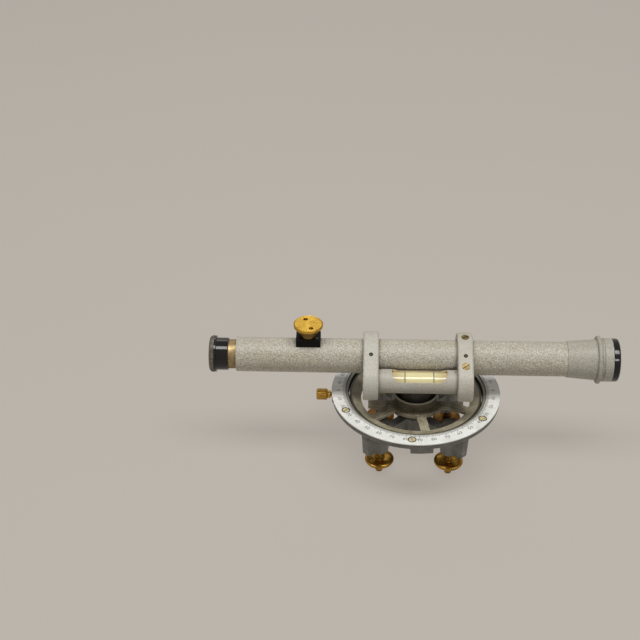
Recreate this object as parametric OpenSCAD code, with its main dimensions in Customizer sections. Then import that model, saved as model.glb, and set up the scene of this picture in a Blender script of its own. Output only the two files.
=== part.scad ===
// Surveying level: a telescope and a spirit vial carried on a bar that turns inside a fixed,
// graduated circle, over a base with four levelling screws.
// X runs along the telescope towards its objective and Z runs up. The origin is the middle of
// the instrument's length and width, in the plane that the four feet stand on.

/* [Telescope] */
// Height of the line of sight above the face of the graduated circle
sight_h = 31; // [30:0.1:33]
// Outer diameter of the telescope tube
tube_d = 25.4; // [24.8:0.1:26]
// Wall of the telescope tube
tube_wall = 1.2; // [1:0.1:1.4]
// Length of the telescope tube
tube_len = 241.5; // [232:0.5:252]
// Length of the telescope tube behind the vertical axis
tube_rear = 132.8; // [131:0.2:138]

/* [Objective end] */
// Length of the flared part of the objective cell
flare_len = 21.4; // [17:0.2:24]
// Diameter of the flare where it starts
flare_small_d = 26.6; // [26.4:0.1:28]
// Diameter of the flare at its wide end
flare_big_d = 30.2; // [29.6:0.1:31.4]
// Diameter of the bead behind the objective
bead_d = 35.4; // [33.6:0.2:37]
// Width of the bead
bead_w = 3.2; // [2.4:0.1:4]
// Diameter of the objective mount
objective_d = 31.8; // [31.2:0.1:33]
// Length of the cylindrical objective mount
objective_len = 7.9; // [7.6:0.1:10]
// Clear aperture of the objective
aperture_d = 25; // [23:0.2:26]
// Length of the black end ring
end_ring_len = 5; // [3:0.2:7]

/* [Eyepiece] */
// Diameter of the eyepiece draw tube
draw_d = 21.5; // [20.6:0.1:21.8]
// Length of draw tube that shows between the telescope and the barrel
draw_show = 5.9; // [4.6:0.1:8]
// Diameter of the eyepiece barrel
barrel_d = 24; // [23.4:0.1:25]
// Length of the eyepiece barrel in front of its flange
barrel_len = 8.7; // [8:0.1:12]
// Diameter of the eyecup and of the barrel's flange
eyecup_d = 27; // [26:0.2:29]
// Width of the flange at the rear of the barrel
flange_w = 1.6; // [1:0.1:2.4]
// Length of the eyecup
eyecup_len = 3.7; // [3:0.1:5]
// Travel of the eyepiece each way
eyepiece_travel = 2.5; // [1.5:0.1:2.6]

/* [Focusing] */
// Distance of the focusing knob behind the vertical axis
knob_back = 79.9; // [78:0.1:80.6]
// Diameter of the focusing knob
knob_d = 21.4; // [19:0.2:24]
// Height of the knob's top above the line of sight
knob_h = 28.3; // [27:0.1:31]
// Thickness of the knob's disc
knob_t = 2.6; // [2:0.1:3.4]
// Length of the pinion block along the telescope
block_len = 17.8; // [16:0.2:20]
// Width of the pinion block
block_w = 12; // [11:0.2:13]
// Height of the block's top above the line of sight
block_h = 18; // [17:0.1:19]
// Gear module of the rack and the pinion
gear_module = 0.5; // [0.45:0.01:0.52]
// Teeth of the pinion
pinion_teeth = 12; // [11:1:12]
// Travel of the focusing slide each way
focus_travel = 15; // [12:0.5:15.5]
// Wall of the focusing slide
slide_wall = 1.5; // [1.3:0.1:1.7]
// Length of the focusing slide
slide_len = 80; // [70:1:90]

/* [Vial] */
// Outer diameter of the vial tube
vial_d = 17.5; // [16.8:0.1:18]
// Wall of the vial tube
vial_wall = 1.2; // [1:0.1:1.3]
// Distance of the vial's axis in front of the telescope's axis
vial_front = 21; // [20.8:0.1:22.4]
// Distance of the vial's axis below the telescope's axis
vial_below = 6.85; // [6.4:0.05:8]
// Length of the window in the vial tube
window_len = 40; // [34:0.5:44]
// Width of the window, measured across its chord
window_w = 15; // [12:0.2:15.4]
// Distance of the window's middle in front of the vertical axis
window_x = 1.2; // [0:0.1:2]
// Outer diameter of the glass vial
glass_d = 13.8; // [12:0.1:13.8]
// Length of the glass vial
glass_len = 62; // [56:0.5:64]
// Length of the bubble
bubble_len = 19; // [14:0.5:22]

/* [Yokes and bar] */
// Distance between the middles of the two yokes
yoke_span = 68.2; // [66:0.2:74]
// Thickness of a yoke along the telescope
yoke_t = 11.3; // [10.4:0.1:12.4]
// Wall of a yoke around the telescope
yoke_wall = 5.65; // [5:0.05:6.2]
// Wall of a yoke around the vial tube
lobe_wall = 5.35; // [4.6:0.05:5.8]
// Radius that rounds the outer edges of a yoke
yoke_round = 1.2; // [0.6:0.1:1.6]
// Width of the level bar at its ends
bar_w = 16; // [14:0.5:18]
// Height of the level bar
bar_t = 9; // [8:0.2:10]
// Diameter of the bar's neck
neck_d = 26; // [25:0.2:27]

/* [Vernier wheel] */
// Depth of the wheel's rim below the face of the circle
wheel_drop = 3; // [2.6:0.1:3.4]
// Radial gap between the wheel and the base
wheel_gap = 1.1; // [0.8:0.1:1.4]
// Radial width of the wheel's rim
rim_w = 8.6; // [7:0.2:10]
// Fall of the rim's face towards its inner edge
rim_fall = 2.5; // [2:0.1:2.8]
// Thickness of the rim at its inner edge
rim_t = 3.2; // [2.8:0.1:3.6]
// Thickness of the spokes
spoke_t = 3; // [2.4:0.1:3.1]
// Width of a spoke
spoke_w = 6.6; // [5.6:0.1:8]
// Number of spokes
spokes = 6; // [5:1:7]
// Diameter of the hub's flange
hub_d = 46; // [43:0.5:50]
// Distance between the outer sides of the two cross ribs
rib_span = 24; // [20:0.5:28]
// Width of a cross rib
rib_w = 6.5; // [5:0.1:7.5]
// Length of the cross ribs
rib_len = 70.9; // [60:0.5:72]
// Outer diameter of the raised collar on the hub
collar_d = 34.4; // [34:0.2:37]

/* [Circle and base] */
// Height of the circle's face above the feet
circle_z = 56.4; // [55.4:0.1:58.4]
// Outer diameter of the graduated circle
circle_d = 126; // [124:0.5:129]
// Radial width of the graduated circle
circle_band = 10.6; // [10.2:0.1:11.4]
// Thickness of the graduated circle
circle_t = 1.2; // [1.1:0.1:1.8]
// Height of the base ring below the circle
ring_h = 4.3; // [3.8:0.1:5]
// Number of screws that hold the circle
circle_screws_n = 6; // [4:1:8]
// Head diameter of the circle's screws
circle_screw_d = 5.6; // [4.4:0.1:6]
// Spacing of the levelling screws along each side of their square
screw_square = 51.8; // [50:0.2:53]
// Reach of each leg's fin beyond the axis of its levelling screw
leg_over = 16.2; // [15:0.1:17]
// Lean of the fin's outer edge
fin_lean = 1.5; // [0.5:0.1:2]
// Thickness of the fin of each leg
fin_t = 5.8; // [5:0.1:7]
// Height of the fin's lower edge above the underside of its leg
fin_rise = 2.3; // [1:0.1:4]
// Thickness of each arm
arm_t = 6.8; // [6:0.1:9]
// Diameter of the boss around each levelling screw
boss_d = 13.4; // [12.4:0.2:14.4]
// Height of the underside of the legs above the feet
leg_z = 19.7; // [18.8:0.1:20.6]
// Outer diameter of the central column
column_d = 26; // [25:0.2:28]
// Height of the arms above the feet
arm_z = 37.4; // [35:0.2:39.4]
// Turn of the four legs from the diagonals, in degrees
leg_turn = -1; // [-6:0.5:6]

/* [Levelling screws] */
// Thread diameter of a levelling screw
thread_d = 6.4; // [6:0.1:7]
// Length of a levelling screw's stem above its disc
stem_len = 26; // [20:0.5:28]
// Diameter of a levelling screw's disc
disc_d = 21.8; // [19:0.2:22.6]
// Height of the disc
disc_h = 3.5; // [3.4:0.1:4.4]
// Gap between the disc and the leg above it
disc_gap = 7.5; // [6.8:0.1:7.8]
// Knurl grooves around each disc
knurl_n = 44; // [24:1:48]
// Diameter of a foot cup at its top
cup_d = 8.6; // [7.8:0.1:9.2]
// Diameter of a foot cup where it stands
foot_d = 5.2; // [4.6:0.1:6]
// Travel of each foot up and down
foot_travel = 2.5; // [1.5:0.1:2.6]

/* [Centre and tripod] */
// Diameter of the spindle in its bush
spindle_d = 14; // [13:0.1:14.4]
// Major diameter of the tripod thread
tripod_d = 15.88; // [15:0.01:16.2]
// Length of the tripod thread
tripod_len = 12; // [11:0.1:12.4]
// Length of the centre bush
bush_len = 14.6; // [13:0.1:15]

/* [Clamp] */
// Diameter of the clamp screw's head
clamp_head_d = 8.4; // [7:0.1:10]
// Length of the clamp screw's head
clamp_head_len = 8.2; // [6:0.1:10]
// Diameter of the clamp screw's shank
clamp_d = 3.6; // [3:0.1:4]

/* [Fits] */
// Radial clearance of a running fit
run_fit = 0.05; // [0.03:0.01:0.08]
// Radial clearance of a piece that is seated in another
seat_fit = 0.04; // [0.02:0.01:0.06]

/* [Hidden] */
$fn = 96;
e = 0.01;

// Telescope and its ends
sight_z = circle_z + sight_h;
tube_r = tube_d / 2;
tube_in = tube_r - tube_wall;
tube_front = tube_len - tube_rear;
flare_x = tube_front + flare_len;
bead_x = flare_x + bead_w / 2;
mount_x = flare_x + bead_w;
objective_x = mount_x + objective_len;
front_end = objective_x + end_ring_len;
lens_r = aperture_d / 2 + 1;
lens_x = objective_x - 9.4;
groove_x = mount_x + 1.5;
draw_r = draw_d / 2;
barrel_x = -tube_rear - draw_show;
flange_x = barrel_x - barrel_len;
eyecup_x = flange_x - flange_w;
rear_end = eyecup_x - eyecup_len;
axis_x = -(front_end + rear_end) / 2;
bush_in_len = 10.6;

// Focusing rack and pinion
knob_x = -knob_back;
pitch_r = gear_module * pinion_teeth / 2;
tip_r = pitch_r + gear_module;
root_r = pitch_r - 1.2 * gear_module;
rack_pitch = PI * gear_module;
pressure = 20;
base_r = pitch_r * cos(pressure);
tooth_half = 90 / pinion_teeth - 1.2;
slide_r = tube_in - run_fit;
slide_in = slide_r - slide_wall;
slot_half = focus_travel + tip_r + 1;
slide_x = knob_x - slot_half - 1.8;
rack_teeth = 2 * ceil((focus_travel + 2 * gear_module) / rack_pitch) + 2;
pinion_low = slide_in - 0.9;
pinion_high = tube_r - 0.1;
arbor_r = 2.5;
knob_low = knob_h - knob_t;
skirt_r = 8.6;
skirt_low_r = 6.4;
spanner_hole_r = 1.7;
lens_seat = slide_in + 0.6;

// Vial, yokes and bar
vial_r = vial_d / 2;
vial_y = -vial_front;
vial_z = sight_z - vial_below;
vial_in = vial_r - vial_wall;
glass_r = glass_d / 2;
glass_in = glass_r - 1.2;
yoke_x = yoke_span / 2;
yoke_r = tube_r + yoke_wall;
lobe_r = vial_r + lobe_wall;
yoke_out = yoke_x + yoke_t / 2;
lean = atan2(vial_below, vial_front);
face_angle = 180 + lean - acos((yoke_r - lobe_r) / norm([vial_front, vial_below]));
bar_top = sight_z - yoke_r + 0.6;
bar_low = bar_top - bar_t;

// Base, wheel and centre
circle_r = circle_d / 2;
circle_low = circle_z - circle_t;
circle_in = circle_r - circle_band;
ring_r = circle_r - 0.3;
ring_in = circle_in - 1.9;
ring_low = circle_low - ring_h;
wheel_r = ring_in - wheel_gap;
rim_in = wheel_r - rim_w;
wheel_z = circle_z - wheel_drop;
wheel_low = wheel_z - rim_fall - rim_t;
hub_r = hub_d / 2;
hub_top = wheel_low + spoke_t;
collar_r = collar_d / 2;
collar_in = neck_d / 2 + 2.5;
neck_low = hub_top - 1;
flange_r = 12.3;
spigot_r = 6;
stud_r = 4;
flange_z = wheel_low - 3;
bush_z = flange_z - 0.1;
bush_r = spindle_d / 2 + 3;
bush_low = bush_z - bush_len;
column_r = column_d / 2;
nut_t = 3.4;
washer_t = 0.9;
socket_top = bush_low - washer_t - nut_t - 0.6;
column_low = socket_top - tripod_len;
screw_rho = screw_square / sqrt(2);
leg_angles = [for (i = [0:3]) 45 + 90 * i + leg_turn];
thread_r = thread_d / 2;
leg_reach = screw_rho + leg_over;
leg_round = 6.4;
leg_out = max(leg_reach + leg_round, ring_in + 5);
disc_top = leg_z - disc_gap;
disc_low = disc_top - disc_h;
screw_top = disc_top + stem_len;
ball_r = 2;
ball_z = 4.7;
cup_h = disc_low - 0.6;
clamp_z = ring_low + 0.4;

// Screws, by the radius of the shank and of the head
circle_shank_r = 1.2;
circle_head_h = circle_t - 0.2;
hub_shank_r = 1;
hub_head_r = 1.9;
hub_screw_rho = 9.2;
hub_screw_len = hub_top - flange_z + 2;
bar_shank_r = 1.5;
bar_head_r = 2.7;
bar_screw_y = 4.6;
lock_shank_r = 1.2;
lock_head_r = 2.9;
grub_r = 1.5;
block_shank_r = 1;
block_head_r = 1.7;
adjust_r = 1.6;

// Points of a circular arc, from angle a to angle b
function arc(x, y, r, a, b, n = 12) =
    [for (i = [0:n]) [x + r * cos(a + (b - a) * i / n), y + r * sin(a + (b - a) * i / n)]];

function turned(p, a) = [p[0] * cos(a) - p[1] * sin(a), p[0] * sin(a) + p[1] * cos(a)];

// Moves what is drawn about the vertical axis to its place over the origin
module placed() {
    translate([axis_x, 0, 0]) children();
}

// Places children with their Z axis along the telescope, starting at x
module on_sight(x = 0) {
    translate([x, 0, sight_z]) rotate([0, 90, 0]) children();
}

// Places children with their Z axis along the vial, starting at x
module on_vial(x = 0) {
    translate([x, vial_y, vial_z]) rotate([0, 90, 0]) children();
}

// Ring with a square section
module ring(r_out, r_in, h) {
    difference() {
        cylinder(r = r_out, h = h);
        translate([0, 0, -e]) cylinder(r = r_in, h = h + 2 * e);
    }
}

// Slotted screw, with the top of its head at the origin and its shank pointing down
module slotted_screw(head_r, head_h, shank_r, shank_len, slot_w, countersunk = false) {
    difference() {
        union() {
            translate([0, 0, -head_h])
                cylinder(r1 = countersunk ? shank_r : head_r, r2 = head_r, h = head_h);
            translate([0, 0, -head_h - shank_len]) cylinder(r = shank_r, h = shank_len + e);
        }
        translate([-head_r - 1, -slot_w / 2, -head_h * 0.45]) cube([2 * head_r + 2, slot_w, head_h]);
    }
}

// Base: ring, four arms and legs, and the central column, cast in one piece
module leveling_base() {
    color("dimgray") placed() difference() {
        union() {
            rotate_extrude() polygon(concat(
                [[ring_in, ring_low + 0.8], [ring_in + 0.8, ring_low]],
                arc(ring_r - 1.4, ring_low + 1.4, 1.4, -90, 0, 6),
                [[ring_r, circle_low], [ring_in, circle_low]]));
            for (a = leg_angles) rotate([0, 0, a]) leg();
            translate([0, 0, column_low]) cylinder(r = column_r, h = bush_z - 2 - column_low);
            front_lug();
            clamp_boss();
        }
        translate([0, 0, column_low - e]) cylinder(r = bush_r, h = bush_z - column_low);
        for (a = leg_angles) rotate([0, 0, a]) translate([screw_rho, 0, leg_z - 1])
            cylinder(r = thread_r + run_fit, h = screw_top + foot_travel + 1.6 - leg_z);
        translate([-circle_r - 1, 0, clamp_z]) rotate([0, 90, 0])
            cylinder(r = clamp_d / 2 + run_fit, h = circle_r + 1 - ring_in + 1);
        circle_screw_places() translate([0, 0, circle_low - 2.4])
            cylinder(r = circle_shank_r + seat_fit, h = 2.4 + e);
    }
}

// One arm and leg, along +X: an arched arm, a boss for the screw and an upright fin
module leg() {
    leg_top = ring_low + 0.6;
    arm_top = wheel_low - 1.4;
    fin_low = leg_z + fin_rise;
    inner_round = 4;
    intersection() {
        rotate([90, 0, 0]) translate([0, 0, -boss_d / 2]) linear_extrude(boss_d) polygon(concat(
            [[column_r - 2, leg_z + 5], [column_r - 2, arm_z]],
            arc(screw_rho - boss_d / 2 - 3, arm_z + inner_round, inner_round, -90, 0, 8),
            [[screw_rho - boss_d / 2 + 1, arm_top], [ring_in - 1, arm_top], [ring_in, leg_top],
                [leg_out, leg_top]],
            arc(leg_out, leg_top - leg_round, leg_round, 90, 180, 8),
            arc(leg_reach - fin_lean - 2, fin_low + 2, 2, 0, -90, 8),
            [[screw_rho, fin_low]],
            arc(screw_rho - 13, leg_z + 1, 5, 0, 90, 8)));
        // Plan of the arm, and of the fin beyond the boss
        translate([0, 0, leg_z - 1]) linear_extrude(circle_z) union() {
            translate([0, -arm_t / 2]) square([screw_rho, arm_t]);
            translate([screw_rho, -fin_t / 2]) square([leg_out - screw_rho, fin_t]);
        }
    }
    translate([screw_rho, 0, leg_z]) cylinder(r1 = boss_d / 2 - 0.6, r2 = boss_d / 2, h = 1);
    translate([screw_rho, 0, leg_z + 1]) cylinder(r = boss_d / 2, h = arm_top - leg_z - 1);
}

// Lug under the ring at the front
module front_lug() {
    lug_h = 4;
    lug_w = 16.2;
    rotate([0, 0, -87]) intersection() {
        rotate_extrude() polygon([[ring_in + 3, ring_low + 1], [ring_in + 5, ring_low - lug_h],
            [ring_r - 0.8, ring_low - lug_h], [ring_r, ring_low - lug_h + 0.8],
            [ring_r, ring_low + 1]]);
        translate([circle_r / 2, -lug_w / 2, 0]) cube([circle_r, lug_w, circle_z]);
    }
}

// Thicker part of the ring that the clamp screw passes through
module clamp_boss() {
    rotate([0, 0, 180]) intersection() {
        rotate_extrude() translate([ring_in + 0.6, ring_low - 3.4])
            square([ring_r - ring_in - 0.6, 4.4]);
        translate([circle_r / 2, -5, 0]) cube([circle_r, 10, circle_z]);
    }
}

// Places children at the screws of the circle, at the level of its face
module circle_screw_places() {
    for (i = [0:circle_screws_n - 1]) rotate([0, 0, -94 + 360 / circle_screws_n * i])
        translate([(circle_r + circle_in) / 2, 0, 0]) children();
}

// Flat graduated circle with a rounded outer edge
module graduated_circle() {
    color("gainsboro") placed() difference() {
        rotate_extrude() polygon(concat(
            [[circle_in, circle_low], [circle_r - 0.2, circle_low], [circle_r, circle_low + 0.2]],
            arc(circle_r - 0.6, circle_z - 0.6, 0.6, 0, 90, 6),
            [[circle_in + 0.3, circle_z], [circle_in, circle_z - 0.3]]));
        circle_screw_places() {
            translate([0, 0, circle_low - e])
                cylinder(r = circle_shank_r + seat_fit, h = circle_t + 1);
            translate([0, 0, circle_z - circle_head_h]) cylinder(r1 = circle_shank_r + seat_fit,
                r2 = circle_screw_d / 2 + seat_fit + e, h = circle_head_h + e);
        }
    }
}

module circle_screws() {
    color("goldenrod") placed() circle_screw_places() translate([0, 0, circle_z]) rotate([0, 0, 25])
        slotted_screw(circle_screw_d / 2, circle_head_h, circle_shank_r, 2.3, 0.7, true);
}

// Flanged bush that the spindle turns in
module centre_bush() {
    color("peru") placed() difference() {
        union() {
            translate([0, 0, bush_z - 2]) cylinder(r = flange_r, h = 2);
            translate([0, 0, bush_low]) cylinder(r = bush_r - seat_fit, h = bush_z - bush_low);
        }
        translate([0, 0, bush_low - e])
            cylinder(r = spindle_d / 2 + run_fit, h = bush_z - bush_low + 2 * e);
    }
}

// Threaded socket for the tripod's screw, pressed into the foot of the column
module tripod_socket() {
    color("peru") placed() difference() {
        union() {
            translate([0, 0, column_low]) cylinder(r = bush_r - seat_fit, h = tripod_len);
            translate([0, 0, column_low - 1.4]) cylinder(r = column_r - 1, h = 1.4);
        }
        translate([0, 0, column_low - 2]) cylinder(r = tripod_d / 2, h = tripod_len + 3);
    }
}

// Spindle: journal, flange, spigot for the wheel and the bar, and a threaded end
module spindle() {
    color("silver") placed() difference() {
        union() {
            translate([0, 0, flange_z]) cylinder(r = flange_r, h = wheel_low - flange_z);
            translate([0, 0, wheel_low - e]) cylinder(r = spigot_r, h = neck_low + 6 - wheel_low);
            translate([0, 0, bush_low]) cylinder(r = spindle_d / 2, h = flange_z - bush_low + e);
            translate([0, 0, socket_top + 0.4]) cylinder(r = stud_r, h = bush_low - socket_top);
        }
        hub_screw_places() translate([0, 0, flange_z - e]) {
            cylinder(r = hub_shank_r + seat_fit, h = 4);
            cylinder(r = hub_head_r + seat_fit, h = 1.4 + seat_fit);
        }
    }
}

module spindle_washer() {
    color("silver") placed() translate([0, 0, bush_low - washer_t - 0.05])
        ring(bush_r - 1, stud_r + seat_fit, washer_t);
}

// Round nut with two spanner holes
module spindle_nut() {
    color("silver") placed() difference() {
        translate([0, 0, bush_low - washer_t - 0.05 - nut_t])
            ring(bush_r - 1.4, stud_r + seat_fit, nut_t);
        for (a = [0, 180]) rotate([0, 0, a])
            translate([6.2, 0, bush_low - washer_t - nut_t - 1]) cylinder(r = 0.9, h = 2.6);
    }
}

// Spoked wheel that turns inside the circle and carries the vernier on its sloping rim
module vernier_wheel() {
    color("rosybrown") placed() difference() {
        union() {
            rotate_extrude() polygon([
                [rim_in, wheel_low + 0.5], [rim_in + 0.6, wheel_low], [wheel_r - 0.8, wheel_low],
                [wheel_r, wheel_low + 0.8], [wheel_r, wheel_z - 0.3], [wheel_r - 0.3, wheel_z],
                [wheel_r - 1.4, wheel_z], [rim_in + 1, wheel_z - rim_fall],
                [rim_in + 0.3, wheel_z - rim_fall - 0.1], [rim_in, wheel_z - rim_fall - 0.5]]);
            translate([0, 0, wheel_low]) cylinder(r = hub_r - 0.6, h = hub_top - wheel_low);
            translate([0, 0, wheel_low]) cylinder(r = hub_r, h = hub_top - wheel_low - 0.6);
            translate([0, 0, wheel_low])
                cylinder(r = collar_r, h = circle_z - 0.2 - wheel_low);
            for (i = [0:spokes - 1]) rotate([0, 0, -81 + 360 / spokes * i]) spoke();
            for (s = [-1, 1]) translate([0, s * (rib_span - rib_w) / 2, wheel_low + spoke_t / 2])
                cube([rib_len, rib_w, spoke_t], center = true);
        }
        translate([0, 0, neck_low]) cylinder(r = collar_in, h = circle_z - neck_low);
        translate([0, 0, wheel_low - e]) cylinder(r = spigot_r + seat_fit, h = 10);
        hub_screw_places() translate([0, 0, wheel_low - e])
            cylinder(r = hub_shank_r + seat_fit, h = neck_low - wheel_low + 1);
        // Openings on both sides of the collar, between the cross ribs
        difference() {
            translate([-rib_len / 2 - 1, rib_w - rib_span / 2, wheel_low - 1])
                cube([rib_len + 2, rib_span - 2 * rib_w, spoke_t + 2]);
            cylinder(r = collar_r, h = circle_z);
            rotate_extrude() translate([rim_in - 0.5, 0]) square([rim_w, circle_z]);
        }
    }
}

// One spoke, along +X, with a raised rib on its back
module spoke() {
    translate([collar_r - 1, -spoke_w / 2, wheel_low])
        cube([rim_in + 1.4 - collar_r, spoke_w, spoke_t - 0.3]);
    translate([collar_r - 1, -0.9, wheel_low])
        cube([rim_in + 1.4 - collar_r, 1.8, spoke_t]);
}

module hub_screw_places() {
    for (i = [0:2]) rotate([0, 0, 30 + 120 * i]) translate([hub_screw_rho, 0, 0]) children();
}

module hub_screws() {
    color("silver") placed() hub_screw_places() translate([0, 0, flange_z]) rotate([180, 0, 0])
        slotted_screw(hub_head_r, 1.4, hub_shank_r, hub_screw_len, 0.6);
}

// Cast bar with a round neck in the middle and a flat seat for a yoke at each end
module level_bar() {
    color("darkgray") placed() difference() {
        union() {
            intersection() {
                // Plan: wide at the neck, tapering to the ends
                translate([0, 0, bar_low - 1]) linear_extrude(bar_t + 2) union() {
                    circle(r = neck_d / 2);
                    polygon([[-yoke_out, -bar_w / 2], [-neck_d / 2, -bar_w / 2 - 1.6],
                        [neck_d / 2, -bar_w / 2 - 1.6], [yoke_out, -bar_w / 2],
                        [yoke_out, bar_w / 2], [neck_d / 2, bar_w / 2 + 1.6],
                        [-neck_d / 2, bar_w / 2 + 1.6], [-yoke_out, bar_w / 2]]);
                }
                // Side: thin at the ends, full height at the neck
                rotate([90, 0, 0]) translate([0, 0, -neck_d]) linear_extrude(2 * neck_d) polygon([
                    [-yoke_out, bar_top], [-yoke_out, bar_low + 1.6], [-yoke_out + 1.6, bar_low],
                    [yoke_out - 1.6, bar_low], [yoke_out, bar_low + 1.6], [yoke_out, bar_top]]);
            }
            translate([0, 0, neck_low]) cylinder(r = neck_d / 2, h = bar_low + 2 - neck_low);
        }
        translate([0, 0, neck_low - e]) cylinder(r = spigot_r + seat_fit, h = 7);
        hub_screw_places() translate([0, 0, neck_low - e])
            cylinder(r = hub_shank_r + seat_fit, h = 5.4);
        bar_screw_places() {
            translate([0, 0, bar_low - e]) cylinder(r = bar_head_r + seat_fit, h = 2.6);
            translate([0, 0, bar_low - e]) cylinder(r = bar_shank_r + seat_fit, h = bar_t + 1);
        }
    }
}

module bar_screw_places() {
    for (x = [-yoke_x, yoke_x], y = [-bar_screw_y, bar_screw_y]) translate([x, y, 0])
        children();
}

module bar_screws() {
    color("silver") placed() bar_screw_places() translate([0, 0, bar_low + 0.3]) rotate([180, 0, 0])
        slotted_screw(bar_head_r, 2.2, bar_shank_r, bar_t + 1, 0.8);
}

// Outline slice of a yoke: a disc around the telescope and a disc around the vial
module yoke_slice(inset, h) {
    cylinder(r = yoke_r - inset, h = h, $fn = 64);
    translate([vial_below, -vial_front, 0]) cylinder(r = lobe_r - inset, h = h, $fn = 64);
}

// Yoke standing on the bar: ring for the telescope, lobe for the vial tube, rounded edges
module yoke(x) {
    difference() {
        union() {
            on_sight(x - yoke_t / 2) hull() {
                translate([0, 0, yoke_round]) yoke_slice(0, yoke_t - 2 * yoke_round);
                translate([0, 0, yoke_round * 0.3])
                    yoke_slice(yoke_round * 0.3, yoke_t - yoke_round * 0.6);
                yoke_slice(yoke_round, yoke_t);
            }
            translate([x - yoke_t / 2 + 0.4, -bar_w / 2 + 0.4, bar_top])
                cube([yoke_t - 0.8, bar_w - 0.8, 6]);
        }
        on_sight(x - yoke_t) cylinder(r = tube_r + seat_fit, h = 2 * yoke_t);
        on_vial(x - yoke_t) cylinder(r = vial_r + seat_fit, h = 2 * yoke_t);
        // The foot stands on the bar's flat seat
        translate([x - yoke_t, -bar_w, bar_top - 12]) cube([2 * yoke_t, 2 * bar_w, 12]);
        for (y = [-bar_screw_y, bar_screw_y]) translate([x, y, bar_top - e])
            cylinder(r = bar_shank_r + seat_fit, h = 3.6);
        grub_place(x) translate([0, 0, -yoke_wall])
            cylinder(r = grub_r + seat_fit, h = yoke_wall + 3);
    }
}

// Middle of the yoke's sloping front face, at share s of the way down, facing outwards
module face_place(x, s) {
    py = (yoke_r * cos(face_angle)) * (1 - s) + (lobe_r * cos(face_angle) - vial_front) * s;
    pz = (yoke_r * sin(face_angle)) * (1 - s) + (lobe_r * sin(face_angle) - vial_below) * s;
    translate([x, py, sight_z + pz]) rotate([face_angle - 90, 0, 0]) children();
}

module grub_place(x) { face_place(x, 0.33) children(); }

module yoke_left() {
    color("lightgray") placed() yoke(-yoke_x);
}

// The right yoke also takes two brass locking screws
module yoke_right() {
    color("lightgray") placed() difference() {
        yoke(yoke_x);
        lock_screw_places() {
            translate([0, 0, -1.4]) cylinder(r = lock_head_r + seat_fit, h = 6);
            translate([0, 0, -3.6]) cylinder(r = lock_shank_r + seat_fit, h = 4);
        }
    }
}

module lock_screw_places() {
    translate([yoke_x, 0, sight_z + yoke_r]) children();
    face_place(yoke_x, 0.72) children();
}

module yoke_lock_screws() {
    color("goldenrod") placed() lock_screw_places() rotate([0, 0, 35])
        translate([0, 0, 0.1]) slotted_screw(lock_head_r, 1.5, lock_shank_r, 2, 0.8);
}

module yoke_grub_screws() {
    color("gray") placed() for (x = [-yoke_x, yoke_x]) grub_place(x) translate([0, 0, -1.2])
        slotted_screw(grub_r, 1.2, grub_r, 2.2, 0.5);
}

// Main tube, with an opening under the pinion block and holes for its screws
module telescope_tube() {
    color("silver") placed() difference() {
        on_sight(-tube_rear) ring(tube_r, tube_in, tube_len);
        translate([knob_x, 0, sight_z]) cylinder(r = tip_r + 0.4, h = tube_r + 2);
        block_screw_places() translate([0, 0, -8]) cylinder(r = block_shank_r + seat_fit, h = 8);
    }
}

// Bush in the rear of the tube that guides the draw tube
module rear_bush() {
    color("darkkhaki") placed() on_sight(-tube_rear)
        ring(tube_in - seat_fit, draw_r + run_fit, bush_in_len);
}

// Flared cell: spigot in the tube, flare, bead and mount in one turned piece
module objective_cell() {
    color("silver") placed() on_sight() rotate_extrude() polygon(concat(
        [[tube_in - 1.4, tube_front - 7], [tube_in - seat_fit, tube_front - 7],
            [tube_in - seat_fit, tube_front], [flare_small_d / 2 - 0.4, tube_front],
            [flare_small_d / 2, tube_front + 0.4], [flare_big_d / 2, flare_x]],
        arc(bead_d / 2 - bead_w / 2, bead_x, bead_w / 2, -90, 90, 12),
        [[objective_d / 2, mount_x], [objective_d / 2, groove_x - 0.4],
            [objective_d / 2 - 0.4, groove_x - 0.2], [objective_d / 2 - 0.4, groove_x + 0.2],
            [objective_d / 2, groove_x + 0.4], [objective_d / 2, objective_x],
            [lens_r + 0.8, objective_x], [lens_r + 0.8, objective_x - 3.6],
            [lens_r + seat_fit, objective_x - 3.6], [lens_r + seat_fit, lens_x],
            [aperture_d / 2, lens_x], [aperture_d / 2, lens_x - 1.4],
            [tube_in - 1.4, tube_front + 2]]));
}

// Lens with a spherical front and back, given by the rise of each face at its rim
module lens(r, thick, front_rise, back_rise) {
    front_r = (r * r + front_rise * front_rise) / (2 * abs(front_rise));
    back_r = (r * r + back_rise * back_rise) / (2 * abs(back_rise));
    front_a = asin(r / front_r);
    back_a = asin(r / back_r);
    fs = front_rise > 0 ? 1 : -1;
    bs = back_rise > 0 ? 1 : -1;
    rotate_extrude() polygon(concat(
        [for (i = [0:10]) [back_r * sin(back_a * i / 10),
            -bs * back_r * (cos(back_a * i / 10) - cos(back_a))]],
        [for (i = [10:-1:0]) [front_r * sin(front_a * i / 10),
            thick + fs * front_r * (cos(front_a * i / 10) - cos(front_a))]]));
}

// Front element of the objective, and the concave element behind it
module objective_crown() {
    color("aliceblue") placed() on_sight(lens_x + 3) lens(lens_r, 2, 0.7, 0.8);
}

module objective_flint() {
    color("aliceblue") placed() on_sight(lens_x) lens(lens_r, 2.9, -0.8, -0.3);
}

// Black end ring, threaded into the objective cell
module objective_ring() {
    seat_x = lens_x + 5.2;
    shoulder_x = objective_x - 3.55;
    color("black") placed() on_sight() rotate_extrude() polygon(concat(
        [[lens_r - 0.4, seat_x], [lens_r, seat_x], [lens_r, shoulder_x],
            [lens_r + 0.8 - seat_fit, shoulder_x],
            [lens_r + 0.8 - seat_fit, objective_x], [objective_d / 2 - 0.3, objective_x],
            [objective_d / 2, objective_x + 0.3]],
        arc(objective_d / 2 - 1.8, front_end - 1.8, 1.8, 0, 90, 6),
        [[lens_r + 0.6, front_end], [lens_r - 0.4, front_end - 1]]));
}

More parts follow.
